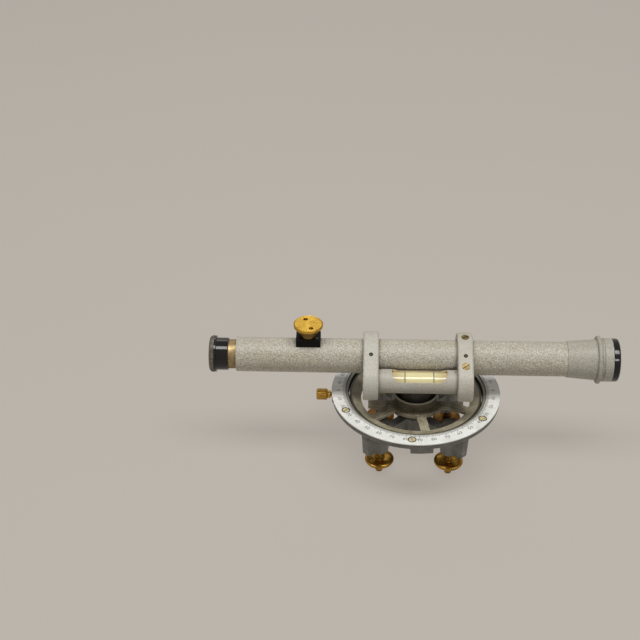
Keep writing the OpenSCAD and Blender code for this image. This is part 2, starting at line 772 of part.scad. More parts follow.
// Block that carries the pinion, saddled on the tube
module pinion_block() {
    color("black") placed() difference() {
        translate([knob_x - block_len / 2, -block_w / 2, sight_z + tube_r * 0.8])
            cube([block_len, block_w, block_h - tube_r * 0.8]);
        on_sight(knob_x - block_len) cylinder(r = tube_r + seat_fit, h = 2 * block_len);
        translate([knob_x, 0, sight_z]) {
            cylinder(r = arbor_r + run_fit, h = block_h + 1);
            cylinder(r = tip_r + 0.3, h = pinion_high + 0.3);
            translate([0, 0, block_h - 1]) cylinder(r = 5.6, h = 2);
        }
        block_screw_places() {
            translate([0, 0, -1.6]) cylinder(r = block_head_r + seat_fit, h = 4);
            translate([0, 0, -10]) cylinder(r = block_shank_r + seat_fit, h = 10);
        }
        // Chamfers along the top edges
        for (s = [-1, 1]) translate([knob_x, s * block_w / 2, sight_z + block_h])
            rotate([45, 0, 0]) cube([block_len + 2, 0.8, 0.8], center = true);
    }
}

module block_screw_places() {
    for (s = [-1, 1]) translate([knob_x + s * (block_len / 2 - 2.6), -s * (block_w / 2 - 2.8),
        sight_z + block_h]) children();
}

module block_screws() {
    color("dimgray") placed() block_screw_places() translate([0, 0, -0.2])
        slotted_screw(block_head_r, 1.4, block_shank_r, block_h - tube_r - 0.6, 0.5);
}

// Flanks of a pinion tooth, as angles from the tooth's middle line
function roll(r) = sqrt(max(0, (r / base_r) * (r / base_r) - 1)) * 180 / PI;
function flank_angle(r) = roll(r) - atan(roll(r) * PI / 180);
function flank(side, start = tooth_half + flank_angle(pitch_r)) =
    [for (i = [0:6]) let (r = base_r + (tip_r - base_r) * i / 6)
    r * [cos(side * (start - flank_angle(r))), sin(side * (start - flank_angle(r)))]];
function reversed(l) = [for (i = [len(l) - 1:-1:0]) l[i]];
function tooth(start = tooth_half + flank_angle(pitch_r)) = concat(
    [turned([root_r - 0.3, 0], -start)], flank(-1), reversed(flank(1)),
    [turned([root_r - 0.3, 0], start)]);

// Pinion with involute teeth, cut on its arbor
module focus_pinion() {
    color("goldenrod") placed() translate([knob_x, 0, sight_z]) {
        translate([0, 0, pinion_low]) linear_extrude(pinion_high - pinion_low) union() {
            circle(r = root_r);
            for (i = [0:pinion_teeth - 1]) rotate([0, 0, 360 / pinion_teeth * i - 90])
                polygon(tooth());
        }
        translate([0, 0, pinion_high]) cylinder(r = arbor_r, h = knob_low - 1 - pinion_high);
    }
}

// Conical skirt of the knob, fixed on the arbor
module knob_skirt() {
    color("tan") placed() translate([knob_x, 0, sight_z]) difference() {
        rotate_extrude() polygon([[0, block_h - 0.8], [4.8, block_h - 0.8], [4.8, block_h + 0.4],
            [skirt_low_r - 0.3, block_h + 0.4], [skirt_low_r, block_h + 0.8],
            [skirt_r - 0.5, knob_low - 2.2], [skirt_r, knob_low - 1.8], [skirt_r, knob_low],
            [0, knob_low]]);
        translate([0, 0, block_h - 1])
            cylinder(r = arbor_r + seat_fit, h = knob_low - block_h + 0.2);
    }
}

// Disc of the knob, with a fine rim and two spanner holes
module knob_cap() {
    color("gold") placed() translate([knob_x, 0, sight_z]) difference() {
        rotate_extrude() polygon([[0, knob_low], [knob_d / 2 - 0.7, knob_low],
            [knob_d / 2, knob_low + 0.6], [knob_d / 2, knob_h - 0.5], [knob_d / 2 - 0.5, knob_h],
            [knob_d / 2 - 1, knob_h - 0.25], [0, knob_h - 0.25]]);
        for (s = [-1, 1]) rotate([0, 0, 111]) translate([6.2 * s, 0, knob_h - 1.5])
            cylinder(r = spanner_hole_r, h = 3);
    }
}

// Plan of the slot in the slide: a long opening with a rack along one side
module slot_plan() {
    difference() {
        translate([-slot_half, -pitch_r - 1.2 * gear_module])
            square([2 * slot_half, 2 * pitch_r + 2.6 * gear_module + 0.4]);
        for (i = [-rack_teeth / 2:rack_teeth / 2 - 1]) translate([(i + 0.5) * rack_pitch, -pitch_r])
            rack_tooth();
    }
}

// Straight-sided tooth with 20 degree flanks, narrowed a little for backlash
module rack_tooth() {
    half = rack_pitch / 4 - 0.06;
    foot = 1.3 * gear_module;
    tip = 0.9 * gear_module;
    polygon([[-half - foot * tan(pressure), -foot], [half + foot * tan(pressure), -foot],
        [half - tip * tan(pressure), tip], [-half + tip * tan(pressure), tip]]);
}

// Sliding tube that carries the focusing lens and is driven by the pinion
module focus_slide() {
    color("goldenrod") placed() difference() {
        on_sight(slide_x) ring(slide_r, slide_in, slide_len);
        translate([knob_x, 0, sight_z]) linear_extrude(slide_r + 1) slot_plan();
        on_sight(slide_x + slide_len - 4.6) cylinder(r = lens_seat, h = 5);
    }
}

module focusing_lens() {
    color("aliceblue") placed() on_sight(slide_x + slide_len - 4.5)
        lens(lens_seat - seat_fit, 2.6, -0.7, -0.7);
}

module lens_retainer() {
    color("dimgray") placed() on_sight(slide_x + slide_len - 1.8)
        ring(lens_seat - seat_fit, slide_in - 1.4, 1.6);
}

// Ring that holds the cross lines, fixed in the tube ahead of the draw tube
module reticle_cell() {
    color("dimgray") placed() on_sight(-tube_rear + bush_in_len + 0.6) difference() {
        ring(tube_in - seat_fit, 7.4, 3);
        translate([0, 0, 1.6]) cylinder(r = 8.4 + seat_fit, h = 2);
    }
}

module reticle_glass() {
    color("aliceblue") placed() on_sight(-tube_rear + bush_in_len + 2.2) cylinder(r = 8.4, h = 1);
}

// Draw tube of the eyepiece, which slides without turning
module eyepiece_tube() {
    color("darkkhaki") placed() on_sight(barrel_x - 5) difference() {
        ring(draw_r, draw_r - 1.2, draw_show + 5 + bush_in_len - eyepiece_travel - 0.2);
        translate([0, 0, draw_show + 1.5 + bush_in_len]) cylinder(r = draw_r - 0.8, h = 20);
    }
}

module field_lens() {
    color("aliceblue") placed() on_sight(barrel_x - 5 + draw_show + bush_in_len - 0.4)
        lens(draw_r - 1.2 - seat_fit, 1.2, 0.6, 0.9);
}

// Barrel that turns on the draw tube, with a flange at its rear
module eyepiece_barrel() {
    color("black") placed() on_sight() rotate_extrude() polygon([
        [draw_r + run_fit, barrel_x], [barrel_d / 2 - 0.5, barrel_x], [barrel_d / 2, barrel_x - 0.5],
        [barrel_d / 2, flange_x], [eyecup_d / 2 - 0.4, flange_x], [eyecup_d / 2, flange_x - 0.4],
        [eyecup_d / 2, eyecup_x], [8.2, eyecup_x], [8.2, barrel_x - 5.2 - 2.6],
        [9, barrel_x - 5.2 - 2.6], [9, barrel_x - 5.2], [draw_r + run_fit, barrel_x - 5.2]]);
}

// Rounded eyecup with a sunken eye hole
module eyecup() {
    color("dimgray") placed() on_sight() rotate_extrude() polygon(concat(
        [[eyecup_d / 2 - 0.3, eyecup_x], [5.6, eyecup_x], [5.6, eyecup_x - 1.2],
            [9.1, rear_end + 0.6], [9.6, rear_end]],
        arc(eyecup_d / 2 - 2.6, rear_end + 2.6, 2.6, -90, 0, 6),
        [[eyecup_d / 2, eyecup_x - 0.3]]));
}

module eye_lens() {
    color("aliceblue") placed() on_sight(barrel_x - 5.2 - 2.4) lens(9 - seat_fit, 1.2, 0.9, 0.2);
}

// Cover tube of the vial, with a window along its top
module vial_tube() {
    color("lightgray") placed() difference() {
        on_vial(-yoke_out + 0.2) ring(vial_r, vial_in, 2 * yoke_out - 0.4);
        translate([window_x, vial_y, vial_z]) linear_extrude(vial_r + 1) window_plan();
        // Hole over the adjusting screw, inboard of the right yoke
        on_vial(yoke_x - yoke_t / 2 - 1.4) rotate([0, -90, 0]) cylinder(r = 0.6, h = vial_r + 1);
    }
}

// Rounded rectangle seen from above
module window_plan() {
    corner = window_w * 0.36;
    for (x = [-1, 1], y = [-1, 1])
        translate([x * (window_len / 2 - corner), y * (window_w / 2 - corner)]) circle(r = corner);
    square([window_len - 2 * corner, window_w], center = true);
    square([window_len, window_w - 2 * corner], center = true);
}

// Sealed glass vial
module vial_glass() {
    color("ivory") placed() on_vial(-glass_len / 2) difference() {
        union() {
            translate([0, 0, 1]) cylinder(r = glass_r, h = glass_len - 2);
            cylinder(r1 = glass_r - 1, r2 = glass_r, h = 1);
            translate([0, 0, glass_len - 1]) cylinder(r1 = glass_r, r2 = glass_r - 1, h = 1);
        }
        translate([0, 0, 1.6]) cylinder(r = glass_in, h = glass_len - 3.2);
    }
}

// Liquid that fills the vial, with the bubble as a hollow at its top
module vial_liquid() {
    color("khaki") placed() on_vial(-glass_len / 2 + 1.7) difference() {
        cylinder(r = glass_in - 0.05, h = glass_len - 3.4);
        translate([-glass_in - 1.4, 0, glass_len / 2 - 1.7 - bubble_len / 2])
            cylinder(r = 4, h = bubble_len);
    }
}

// Plugs that centre the glass in its tube, one at each end
module vial_plugs() {
    plug_len = yoke_out - 0.4 - glass_len / 2;
    color("gray") placed() for (s = [0, 1]) mirror([s, 0, 0])
        on_vial(glass_len / 2 - 2) difference() {
        cylinder(r = vial_in - seat_fit, h = plug_len + 2);
        translate([0, 0, -e]) cylinder(r = glass_r + seat_fit, h = 2 + 2 * e);
        translate([0, 0, plug_len]) cylinder(r = adjust_r + seat_fit, h = 3);
    }
}

module vial_adjusting_screws() {
    plug_len = yoke_out - 0.4 - glass_len / 2;
    color("silver") placed() for (s = [0, 1]) mirror([s, 0, 0])
        on_vial(glass_len / 2 - 2 + plug_len + 1.8)
        slotted_screw(adjust_r, 1.2, adjust_r - 0.4, 0.6, 0.5);
}

// Clamp screw beside the circle: knurled head, collar and shank, along +X
module clamp_screw() {
    head_x = -ring_r - 3.4;
    color("goldenrod") placed() translate([0, 0, clamp_z]) rotate([0, 90, 0]) difference() {
        union() {
            translate([0, 0, head_x - clamp_head_len]) cylinder(r1 = clamp_head_d / 2 - 0.7,
                r2 = clamp_head_d / 2, h = 0.8);
            translate([0, 0, head_x - clamp_head_len + 0.8])
                cylinder(r = clamp_head_d / 2, h = clamp_head_len - 1.4);
            translate([0, 0, head_x - 0.6])
                cylinder(r1 = clamp_head_d / 2, r2 = clamp_head_d / 2 - 0.6, h = 0.6);
            translate([0, 0, head_x]) cylinder(r = 2.9, h = 2.4);
            translate([0, 0, head_x]) cylinder(r = clamp_d / 2, h = -ring_in - 2.6 - head_x);
        }
        for (i = [0:23]) rotate([0, 0, 15 * i])
            translate([clamp_head_d / 2, 0, head_x - clamp_head_len - 1])
                cylinder(r = 0.28, h = clamp_head_len + 0.4, $fn = 6);
    }
}

// Pad between the clamp screw and the wheel's rim, kept from turning in its bore
module clamp_pad() {
    color("goldenrod") placed() translate([-ring_in - 2.5, 0, clamp_z]) rotate([0, 90, 0])
        cylinder(r = clamp_d / 2, h = ring_in + 2.5 - wheel_r - 0.4);
}

// Places children at levelling screw n, counted round from the rear right
module at_screw(n) {
    rotate([0, 0, leg_angles[n - 1]]) translate([screw_rho, 0, 0]) children();
}

// Levelling screw: threaded stem, knurled disc and a ball end
module leveling_screw() {
    disc_r = disc_d / 2;
    under_round = 1.1;
    knurl_r = 0.5;
    corner_turn = 75;
    ball_under = 60;
    ball_over = 38;
    difference() {
        rotate_extrude() polygon(concat(
            [[0, screw_top], [0, ball_z - ball_r * sin(ball_under)]],
            arc(0, ball_z, ball_r, -ball_under, ball_over, 6),
            [[ball_r - 0.3, disc_low - 0.4], [thread_r + 1, disc_low]],
            arc(disc_r - 0.5 - under_round, disc_low + under_round, under_round, -corner_turn, 0, 6),
            [[disc_r, disc_low + under_round + 0.5], [disc_r, disc_top - 0.8],
                [disc_r - 1.9, disc_top], [thread_r + 1, disc_top],
                [thread_r + 0.6, disc_top + 0.4], [thread_r, disc_top + 0.4],
                [thread_r, screw_top - 0.8], [thread_r - 0.8, screw_top]]));
        for (i = [0:knurl_n - 1]) rotate([0, 0, 360 / knurl_n * i])
            translate([disc_r + 0.3 * knurl_r, 0, disc_low + under_round])
                cylinder(r = knurl_r, h = disc_h, $fn = 4);
    }
}

module leveling_screw_1() { color("goldenrod") placed() at_screw(1) leveling_screw(); }
module leveling_screw_2() { color("goldenrod") placed() at_screw(2) leveling_screw(); }
module leveling_screw_3() { color("goldenrod") placed() at_screw(3) leveling_screw(); }
module leveling_screw_4() { color("goldenrod") placed() at_screw(4) leveling_screw(); }

// Foot cup that the ball end of a levelling screw turns in: a cone with flutes round it
module foot_cup() {
    slope = atan((cup_d - foot_d) / 2 / cup_h);
    flutes = 16;
    flute_r = 0.35;
    difference() {
        rotate_extrude() polygon([[0, 0], [foot_d / 2, 0], [cup_d / 2, cup_h],
            [cup_d / 2 - 0.5, cup_h], [0, cup_h]]);
        translate([0, 0, ball_z - ball_r - 0.1])
            cylinder(r = ball_r + run_fit, h = cup_h - ball_z + ball_r + 1);
        for (i = [0:flutes - 1]) rotate([0, 0, 360 / flutes * i])
            translate([foot_d / 2 + 0.15, 0, 0]) rotate([0, slope, 0]) translate([0, 0, 0.8])
                cylinder(r = flute_r, h = cup_h, $fn = 4);
    }
}

module foot_cup_1() { color("darkgoldenrod") placed() at_screw(1) foot_cup(); }
module foot_cup_2() { color("darkgoldenrod") placed() at_screw(2) foot_cup(); }
module foot_cup_3() { color("darkgoldenrod") placed() at_screw(3) foot_cup(); }
module foot_cup_4() { color("darkgoldenrod") placed() at_screw(4) foot_cup(); }

leveling_base();
graduated_circle();
circle_screws();
centre_bush();
tripod_socket();
spindle();
spindle_washer();
spindle_nut();
vernier_wheel();
hub_screws();
level_bar();
bar_screws();
yoke_left();
yoke_right();
yoke_lock_screws();
yoke_grub_screws();
telescope_tube();
rear_bush();
objective_cell();
objective_crown();
objective_flint();
objective_ring();
pinion_block();
block_screws();
focus_pinion();
knob_skirt();
knob_cap();
focus_slide();
focusing_lens();
lens_retainer();
reticle_cell();
reticle_glass();
eyepiece_tube();
field_lens();
eyepiece_barrel();
eyecup();
eye_lens();
vial_tube();
vial_glass();
vial_liquid();
vial_plugs();
vial_adjusting_screws();
clamp_screw();
clamp_pad();
leveling_screw_1();
leveling_screw_2();
leveling_screw_3();
leveling_screw_4();
foot_cup_1();
foot_cup_2();
foot_cup_3();
foot_cup_4();
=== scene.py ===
"""Surveying level: materials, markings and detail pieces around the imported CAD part."""

import math

import bmesh
import bpy
from mathutils import Matrix, Vector


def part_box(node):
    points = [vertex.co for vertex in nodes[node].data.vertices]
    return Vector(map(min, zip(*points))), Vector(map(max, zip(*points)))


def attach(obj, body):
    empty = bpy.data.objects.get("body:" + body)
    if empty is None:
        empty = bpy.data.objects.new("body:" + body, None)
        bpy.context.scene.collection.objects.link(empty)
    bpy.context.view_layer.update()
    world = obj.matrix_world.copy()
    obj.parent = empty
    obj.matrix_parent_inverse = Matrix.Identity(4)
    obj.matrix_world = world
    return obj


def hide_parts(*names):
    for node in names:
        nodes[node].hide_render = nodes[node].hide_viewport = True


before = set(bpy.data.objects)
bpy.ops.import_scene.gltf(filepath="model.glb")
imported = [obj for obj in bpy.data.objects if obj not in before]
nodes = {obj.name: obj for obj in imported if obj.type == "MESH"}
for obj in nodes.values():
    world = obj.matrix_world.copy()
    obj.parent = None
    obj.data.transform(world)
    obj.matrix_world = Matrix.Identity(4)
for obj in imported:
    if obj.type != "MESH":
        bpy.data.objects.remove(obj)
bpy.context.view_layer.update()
MM = 0.001


# Sizes, in millimetres
def box_mm(node):
    """The lower and the upper corner of a node's box."""
    low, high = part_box(node)
    return low / MM, high / MM


# Circle and its ledge in the base
DIAL_LOW, DIAL_HIGH = box_mm("graduated_circle")
DIAL_BAND = 10.6
DIAL_TOP = DIAL_HIGH.z
DIAL_R = DIAL_HIGH.y
DIAL_IN = DIAL_R - DIAL_BAND
AXIS_X = (DIAL_LOW.x + DIAL_HIGH.x) / 2
LEDGE_WIDTH = 1.9
LEDGE_IN = DIAL_IN - LEDGE_WIDTH

# Wheel, with its sloping rim, its hub and its collar
WHEEL_DROP = 3.0
WHEEL_R = box_mm("vernier_wheel")[1].y
WHEEL_TOP = DIAL_TOP - WHEEL_DROP
RIM_FALL = 2.5
RIM_WIDTH = 8.6
RIM_IN = WHEEL_R - RIM_WIDTH
RIM_LAND_OUT = 1.4
RIM_LAND_IN = 1.0
HUB_R = 23.0
COLLAR_IN = 15.5
COLLAR_OUT = 17.2

# Vial
VIAL_LOW, VIAL_HIGH = box_mm("vial_glass")
VIAL_Y = (VIAL_LOW.y + VIAL_HIGH.y) / 2
VIAL_Z = (VIAL_LOW.z + VIAL_HIGH.z) / 2
GLASS_R = (VIAL_HIGH.y - VIAL_LOW.y) / 2
WINDOW_X = AXIS_X + 1.0
WINDOW_REACH = 22.0
LINE_REACH = 10.4


# Node helpers
class Look:
    """One material and short ways to add nodes to it."""

    def __init__(self, name, **values):
        self.mat = bpy.data.materials.new(name)
        self.mat.use_nodes = True
        self.tree = self.mat.node_tree
        self.shader = self.tree.nodes["Principled BSDF"]
        self.coord = self.add("ShaderNodeTexCoord").outputs["Object"]
        for socket, value in values.items():
            self.shader.inputs[socket.replace("_", " ")].default_value = value

    def add(self, kind, inputs=None, **settings):
        """A new node, its inputs set to values or linked to sockets."""
        made = self.tree.nodes.new(kind)
        for key, value in settings.items():
            setattr(made, key, value)
        for key, value in (inputs or {}).items():
            if isinstance(value, bpy.types.NodeSocket):
                self.tree.links.new(value, made.inputs[key])
            else:
                made.inputs[key].default_value = value
        return made

    def set(self, socket, value):
        """Link a value to an input of the surface."""
        self.tree.links.new(value, self.shader.inputs[socket])

    def noise(self, scale, detail=3.0, rough=0.6, offset=None):
        """Noise from 0 to 1, with scale waves in a metre; offset moves it elsewhere."""
        where = self.coord
        if offset:
            where = self.add("ShaderNodeMapping", {"Vector": where, "Location": offset}).outputs[0]
        return self.add("ShaderNodeTexNoise", {"Vector": where, "Scale": scale, "Detail": detail,
                                               "Roughness": rough}).outputs["Fac"]

    def cells(self, scale):
        """Soft round grains, scale of them in a metre."""
        return self.add("ShaderNodeTexVoronoi", {"Vector": self.coord, "Scale": scale,
                                                 "Smoothness": 0.6},
                        feature="SMOOTH_F1").outputs["Distance"]

    def ramp(self, factor, low, high, to_low=0.0, to_high=1.0):
        """A value that goes from to_low to to_high while factor goes from low to high."""
        return self.add("ShaderNodeMapRange", {"Value": factor, "From Min": low, "From Max": high,
                                               "To Min": to_low, "To Max": to_high},
                        clamp=True).outputs["Result"]

    def math(self, operation, a, b):
        """The result of an operation on two values."""
        return self.add("ShaderNodeMath", {0: a, 1: b}, operation=operation).outputs[0]

    def times(self, a, b):
        """The product of two values."""
        return self.math("MULTIPLY", a, b)

    def mix(self, factor, a, b):
        """A colour that is a where factor is 0 and b where it is 1."""
        made = self.add("ShaderNodeMix", data_type="RGBA")
        for index, value in ((0, factor), (6, a), (7, b)):
            if isinstance(value, bpy.types.NodeSocket):
                self.tree.links.new(value, made.inputs[index])
            elif isinstance(value, float):
                made.inputs[index].default_value = value
            else:
                made.inputs[index].default_value = (*value, 1.0)
        return made.outputs[2]

    def cover(self, colour, mask, share, over):
        """The colour with a share of another one over it, where the mask is 1."""
        return self.mix(self.times(mask, share), colour, over)

    def beyond(self, measure, start, end):
        """A mask that rises to 1 while a measure in metres goes from start to end millimetres."""
        return self.ramp(measure, start * MM, end * MM)

    def within(self, measure, start, end):
        """A mask that falls to 0 while a measure in metres goes from start to end millimetres."""
        return self.ramp(measure, start * MM, end * MM, 1.0, 0.0)

    def from_line(self, point, across):
        """Distance in metres from a line through a point, whose own direction is 0 in across."""
        local = self.add("ShaderNodeMapping", {"Vector": self.coord,
                                               "Location": [-value * MM for value in point]})
        flat = self.add("ShaderNodeVectorMath", {0: local.outputs[0], 1: across},
                        operation="MULTIPLY").outputs["Vector"]
        return self.add("ShaderNodeVectorMath", {0: flat}, operation="LENGTH").outputs["Value"]

    def from_axis(self):
        """Distance from the vertical axis, in metres."""
        return self.from_line((AXIS_X, 0.0, 0.0), (1.0, 1.0, 0.0))

    def along_x(self, start):
        """Distance along X from a place in millimetres, in metres, either way."""
        place = self.add("ShaderNodeSeparateXYZ", {0: self.coord}).outputs["X"]
        return self.math("ABSOLUTE", self.math("SUBTRACT", place, start * MM), 0.0)

    def height(self):
        """Height above the floor, in metres."""
        return self.add("ShaderNodeSeparateXYZ", {0: self.coord}).outputs["Z"]

    def edges(self, radius=0.5, low=0.02, high=0.25):
        """A mask that is 1 on sharp edges."""
        rounded = self.add("ShaderNodeBevel", {"Radius": radius * MM}, samples=4).outputs[0]
        plain = self.add("ShaderNodeNewGeometry").outputs["Normal"]
        dot = self.add("ShaderNodeVectorMath", {0: rounded, 1: plain}, operation="DOT_PRODUCT")
        bent = self.math("SUBTRACT", 1.0, dot.outputs["Value"])
        return self.ramp(bent, low, high)

    def hollows(self, distance=4.0, low=0.35, high=0.85):
        """A mask that is 1 in corners and gaps."""
        open_air = self.add("ShaderNodeAmbientOcclusion", {"Distance": distance * MM},
                            samples=6).outputs["AO"]
        return self.ramp(open_air, low, high, 1.0, 0.0)

    def bump(self, height, strength, distance, radius=0.0):
        """Fine relief, distance millimetres deep, with edges rounded by radius millimetres."""
        inputs = {"Height": height, "Strength": strength, "Distance": distance * MM}
        if radius:
            inputs["Normal"] = self.add("ShaderNodeBevel", {"Radius": radius * MM},
                                        samples=4).outputs[0]
        self.set("Normal", self.add("ShaderNodeBump", inputs).outputs[0])


def srgb(red, green, blue):
    """A display colour, 0 to 255, as the linear colour that a shader takes."""
    def linear(value):
        share = value / 255
        return share / 12.92 if share <= 0.04045 else ((share + 0.055) / 1.055) ** 2.4
    return tuple(linear(value) for value in (red, green, blue))


# Materials
def window_bore(look, bore):
    """A mask that is 1 inside the vial's cover tube, behind its window."""
    reach = look.from_line((0.0, VIAL_Y, VIAL_Z), (0.0, 1.0, 1.0))
    along = look.along_x(AXIS_X)
    return look.times(look.within(reach, bore, bore + 0.3),
                      look.within(along, WINDOW_REACH, WINDOW_REACH + 1.0))


def textured_enamel(name, light, dark, speck, grain, depth, rough, edge_wear_and_highlight=0.55, bore=0.0):
    """Sprayed enamel with a fine grain, dark specks, stains, painted shade in its hollows, pale
    edges that are partly worn and partly painted highlight, and painted light in a window's bore.
    """
    look = Look(name, Metallic=0.0, IOR=1.45)
    fine = look.noise(1 / (grain * MM), 4.0, 0.65)
    coarse = look.noise(1 / (3.2 * grain * MM), 3.0, 0.6, (0.3, 0.1, 0.2))
    colour = look.mix(look.ramp(fine, 0.38, 0.62), dark, light)
    specks = look.ramp(look.noise(1 / (0.62 * grain * MM), 2.0, 0.5, (0.7, 0.2, 0.5)), 0.60, 0.70)
    colour = look.cover(colour, specks, 0.7, speck)
    stain = look.ramp(look.noise(38.0, 4.0, 0.65, (0.5, 0.4, 0.9)), 0.46, 0.68)
    colour = look.cover(colour, stain, 0.22, srgb(150, 132, 96))
    # Darker in hollows and where parts meet: painted shade, with some dirt.
    dirt_and_hollow_shade = look.times(look.hollows(3.0), look.ramp(coarse, 0.3, 0.6, 0.45, 0.8))
    colour = look.mix(dirt_and_hollow_shade, colour, srgb(84, 76, 60))
    # Pale edges: partly wear, partly a painted highlight where light catches the rounded edges.
    worn = look.times(look.edges(0.35), look.ramp(coarse, 0.34, 0.50))
    colour = look.cover(colour, worn, edge_wear_and_highlight, srgb(222, 216, 200))
    # Pale cream inside the vial's cover tube behind its window: painted light that lifts the shade
    # there.
    if bore:
        colour = look.mix(window_bore(look, bore), colour, srgb(244, 228, 186))
    look.set("Base Color", colour)
    look.set("Roughness", look.ramp(fine, 0.3, 0.7, rough - 0.06, rough + 0.12))
    height = look.math("ADD", look.cells(1 / (1.15 * grain * MM)), look.times(fine, 0.8))
    look.bump(height, 0.55, depth, 0.25)
    return look.mat


def grimy(look, colour, broad, shade_r, shade_z):
    """Painted shade over what lies above a given height, thick within a given radius of the axis,
    and a paler ledge.
    """
    radius, height = look.from_axis(), look.height()
    # Darker near the axis and above a height: painted shade.
    near = look.math("MAXIMUM", look.within(radius, shade_r, shade_r + 3.0), 0.38)
    shade_colour = look.mix(look.ramp(broad, 0.35, 0.65), srgb(44, 40, 34), srgb(62, 57, 48))
    high = look.beyond(height, shade_z - 1.0, shade_z)
    colour = look.cover(colour, look.times(near, high), 0.92, shade_colour)
    ledge = look.times(look.beyond(radius, LEDGE_IN - 0.1, LEDGE_IN),
                       look.beyond(height, DIAL_TOP - 1.6, DIAL_TOP - 1.4))
    return look.cover(colour, ledge, 0.9, srgb(126, 125, 108))


def smooth_enamel(name, light, dark, rough, stain=0.2, edge=0.5, shade_r=0.0, shade_z=0.0):
    """Cast metal under smooth enamel, softly uneven, with stains, painted shade in its hollows and
    near the axis, and worn edges.
    """
    look = Look(name, Metallic=0.0, IOR=1.45)
    broad = look.noise(160.0, 4.0, 0.6)
    fine = look.noise(1300.0, 3.0, 0.6, (0.2, 0.6, 0.1))
    colour = look.mix(look.ramp(broad, 0.35, 0.65), dark, light)
    colour = look.cover(colour, look.ramp(fine, 0.55, 0.72), 0.25, srgb(120, 112, 98))
    marks = look.ramp(look.noise(70.0, 5.0, 0.7, (0.8, 0.3, 0.1)), 0.50, 0.72)
    colour = look.cover(colour, marks, stain, srgb(140, 126, 98))
    # Darker in hollows: painted shade.
    colour = look.cover(colour, look.hollows(3.5), 0.6, srgb(66, 58, 44))
    worn = look.times(look.edges(0.4), look.ramp(broad, 0.40, 0.58))
    colour = look.cover(colour, worn, edge, srgb(206, 196, 168))
    look.set("Base Color", grimy(look, colour, broad, shade_r, shade_z))
    look.set("Roughness", look.ramp(fine, 0.3, 0.7, rough - 0.05, rough + 0.12))
    look.bump(look.math("ADD", broad, look.times(fine, 0.25)), 0.35, 0.25, 0.3)
    return look.mat


def metal(name, bright, dull, rough, tarnish, scale):
    """Machined metal with patches of tarnish, and painted shade that gathers in its corners."""
    look = Look(name, Metallic=1.0)
    broad = look.noise(scale, 4.0, 0.65)
    fine = look.noise(6.0 * scale, 3.0, 0.6, (0.4, 0.2, 0.7))
    colour = look.cover(bright, look.ramp(broad, 0.40, 0.66), tarnish, dull)
    # Darker in corners: painted shade.
    deep = tuple(0.25 * value for value in dull)
    colour = look.cover(colour, look.hollows(3.0), 0.7, deep)
    look.set("Base Color", colour)
    look.set("Roughness", look.ramp(broad, 0.35, 0.7, rough, rough + 0.18))
    look.bump(look.math("ADD", broad, fine), 0.2, 0.05, 0.2)
    return look.mat


def turned_metal(name, bright, dull, rough, centre, pitch=0.35):
    """Metal with fine turning marks round an upright axis through centre, in millimetres, and
    painted shade in its hollows.
    """
    look = Look(name, Metallic=1.0, Anisotropic=0.75)
    local = look.add("ShaderNodeMapping",
                     {"Vector": look.coord, "Location": [-value * MM for value in centre]})
    rings = look.add("ShaderNodeTexWave", {"Vector": local.outputs[0], "Scale": 0.3 / (pitch * MM),
                                           "Distortion": 0.4, "Detail": 2.0},
                     wave_type="RINGS", rings_direction="Z").outputs["Fac"]
    broad = look.noise(260.0, 4.0, 0.65)
    colour = look.cover(bright, look.ramp(broad, 0.42, 0.66), 0.3, dull)
    # Darker in hollows: painted shade.
    deep = tuple(0.2 * value for value in dull)
    colour = look.cover(colour, look.hollows(2.0), 0.75, deep)
    look.set("Base Color", colour)
    look.set("Roughness", look.ramp(broad, 0.3, 0.7, rough, rough + 0.15))
    look.set("Tangent", look.add("ShaderNodeTangent", direction_type="RADIAL", axis="Z").outputs[0])
    look.bump(look.math("ADD", rings, look.times(broad, 0.6)), 0.25, 0.02, 0.15)
    return look.mat


def lacquer(name, colour, dust, rough, dusty, coat=0.0):
    """Black lacquer over metal, with dust and rubbed edges."""
    look = Look(name, Metallic=0.0, Specular_IOR_Level=0.12, Coat_Weight=coat, Coat_Roughness=0.07)
    broad = look.noise(180.0, 4.0, 0.7)
    fine = look.noise(1600.0, 2.0, 0.6, (0.1, 0.9, 0.3))
    settled = look.ramp(look.math("ADD", broad, look.times(fine, 0.3)), 0.52, 0.82)
    paint = look.cover(colour, settled, dusty, dust)
    worn = look.times(look.edges(0.25, 0.05, 0.35), look.ramp(broad, 0.42, 0.6))
    paint = look.cover(paint, worn, 0.5, srgb(120, 112, 96))
    look.set("Base Color", paint)
    look.set("Roughness", look.ramp(broad, 0.35, 0.7, rough, rough + 0.2))
    look.bump(look.math("ADD", broad, fine), 0.15, 0.04, 0.2)
    return look.mat


def scale_metal(name):
    """Silvered face of the graduated circle, with a fine grain and faint stains, painted shade in
    its hollows and on its inner wall.
    """
    look = Look(name, Metallic=0.0, Specular_IOR_Level=0.5)
    fine = look.noise(1500.0, 3.0, 0.6)
    broad = look.noise(90.0, 4.0, 0.65, (0.3, 0.8, 0.2))
    colour = look.mix(look.ramp(broad, 0.35, 0.65), srgb(216, 216, 210), srgb(228, 228, 222))
    colour = look.cover(colour, look.ramp(fine, 0.5, 0.7), 0.3, srgb(160, 158, 150))
    marks = look.ramp(look.noise(130.0, 5.0, 0.7, (0.9, 0.1, 0.6)), 0.55, 0.74)
    colour = look.cover(colour, marks, 0.3, srgb(150, 146, 134))
    # Darker in hollows: painted shade.
    colour = look.cover(colour, look.hollows(2.0), 0.5, srgb(90, 86, 76))
    # Dark inner wall of the circle: painted shade.
    wall = look.within(look.from_axis(), DIAL_IN + 0.1, DIAL_IN + 0.35)
    colour = look.mix(wall, colour, srgb(54, 51, 44))
    look.set("Base Color", colour)
    look.set("Roughness", look.ramp(fine, 0.3, 0.7, 0.36, 0.52))
    look.bump(look.math("ADD", fine, broad), 0.18, 0.06, 0.3)
    return look.mat


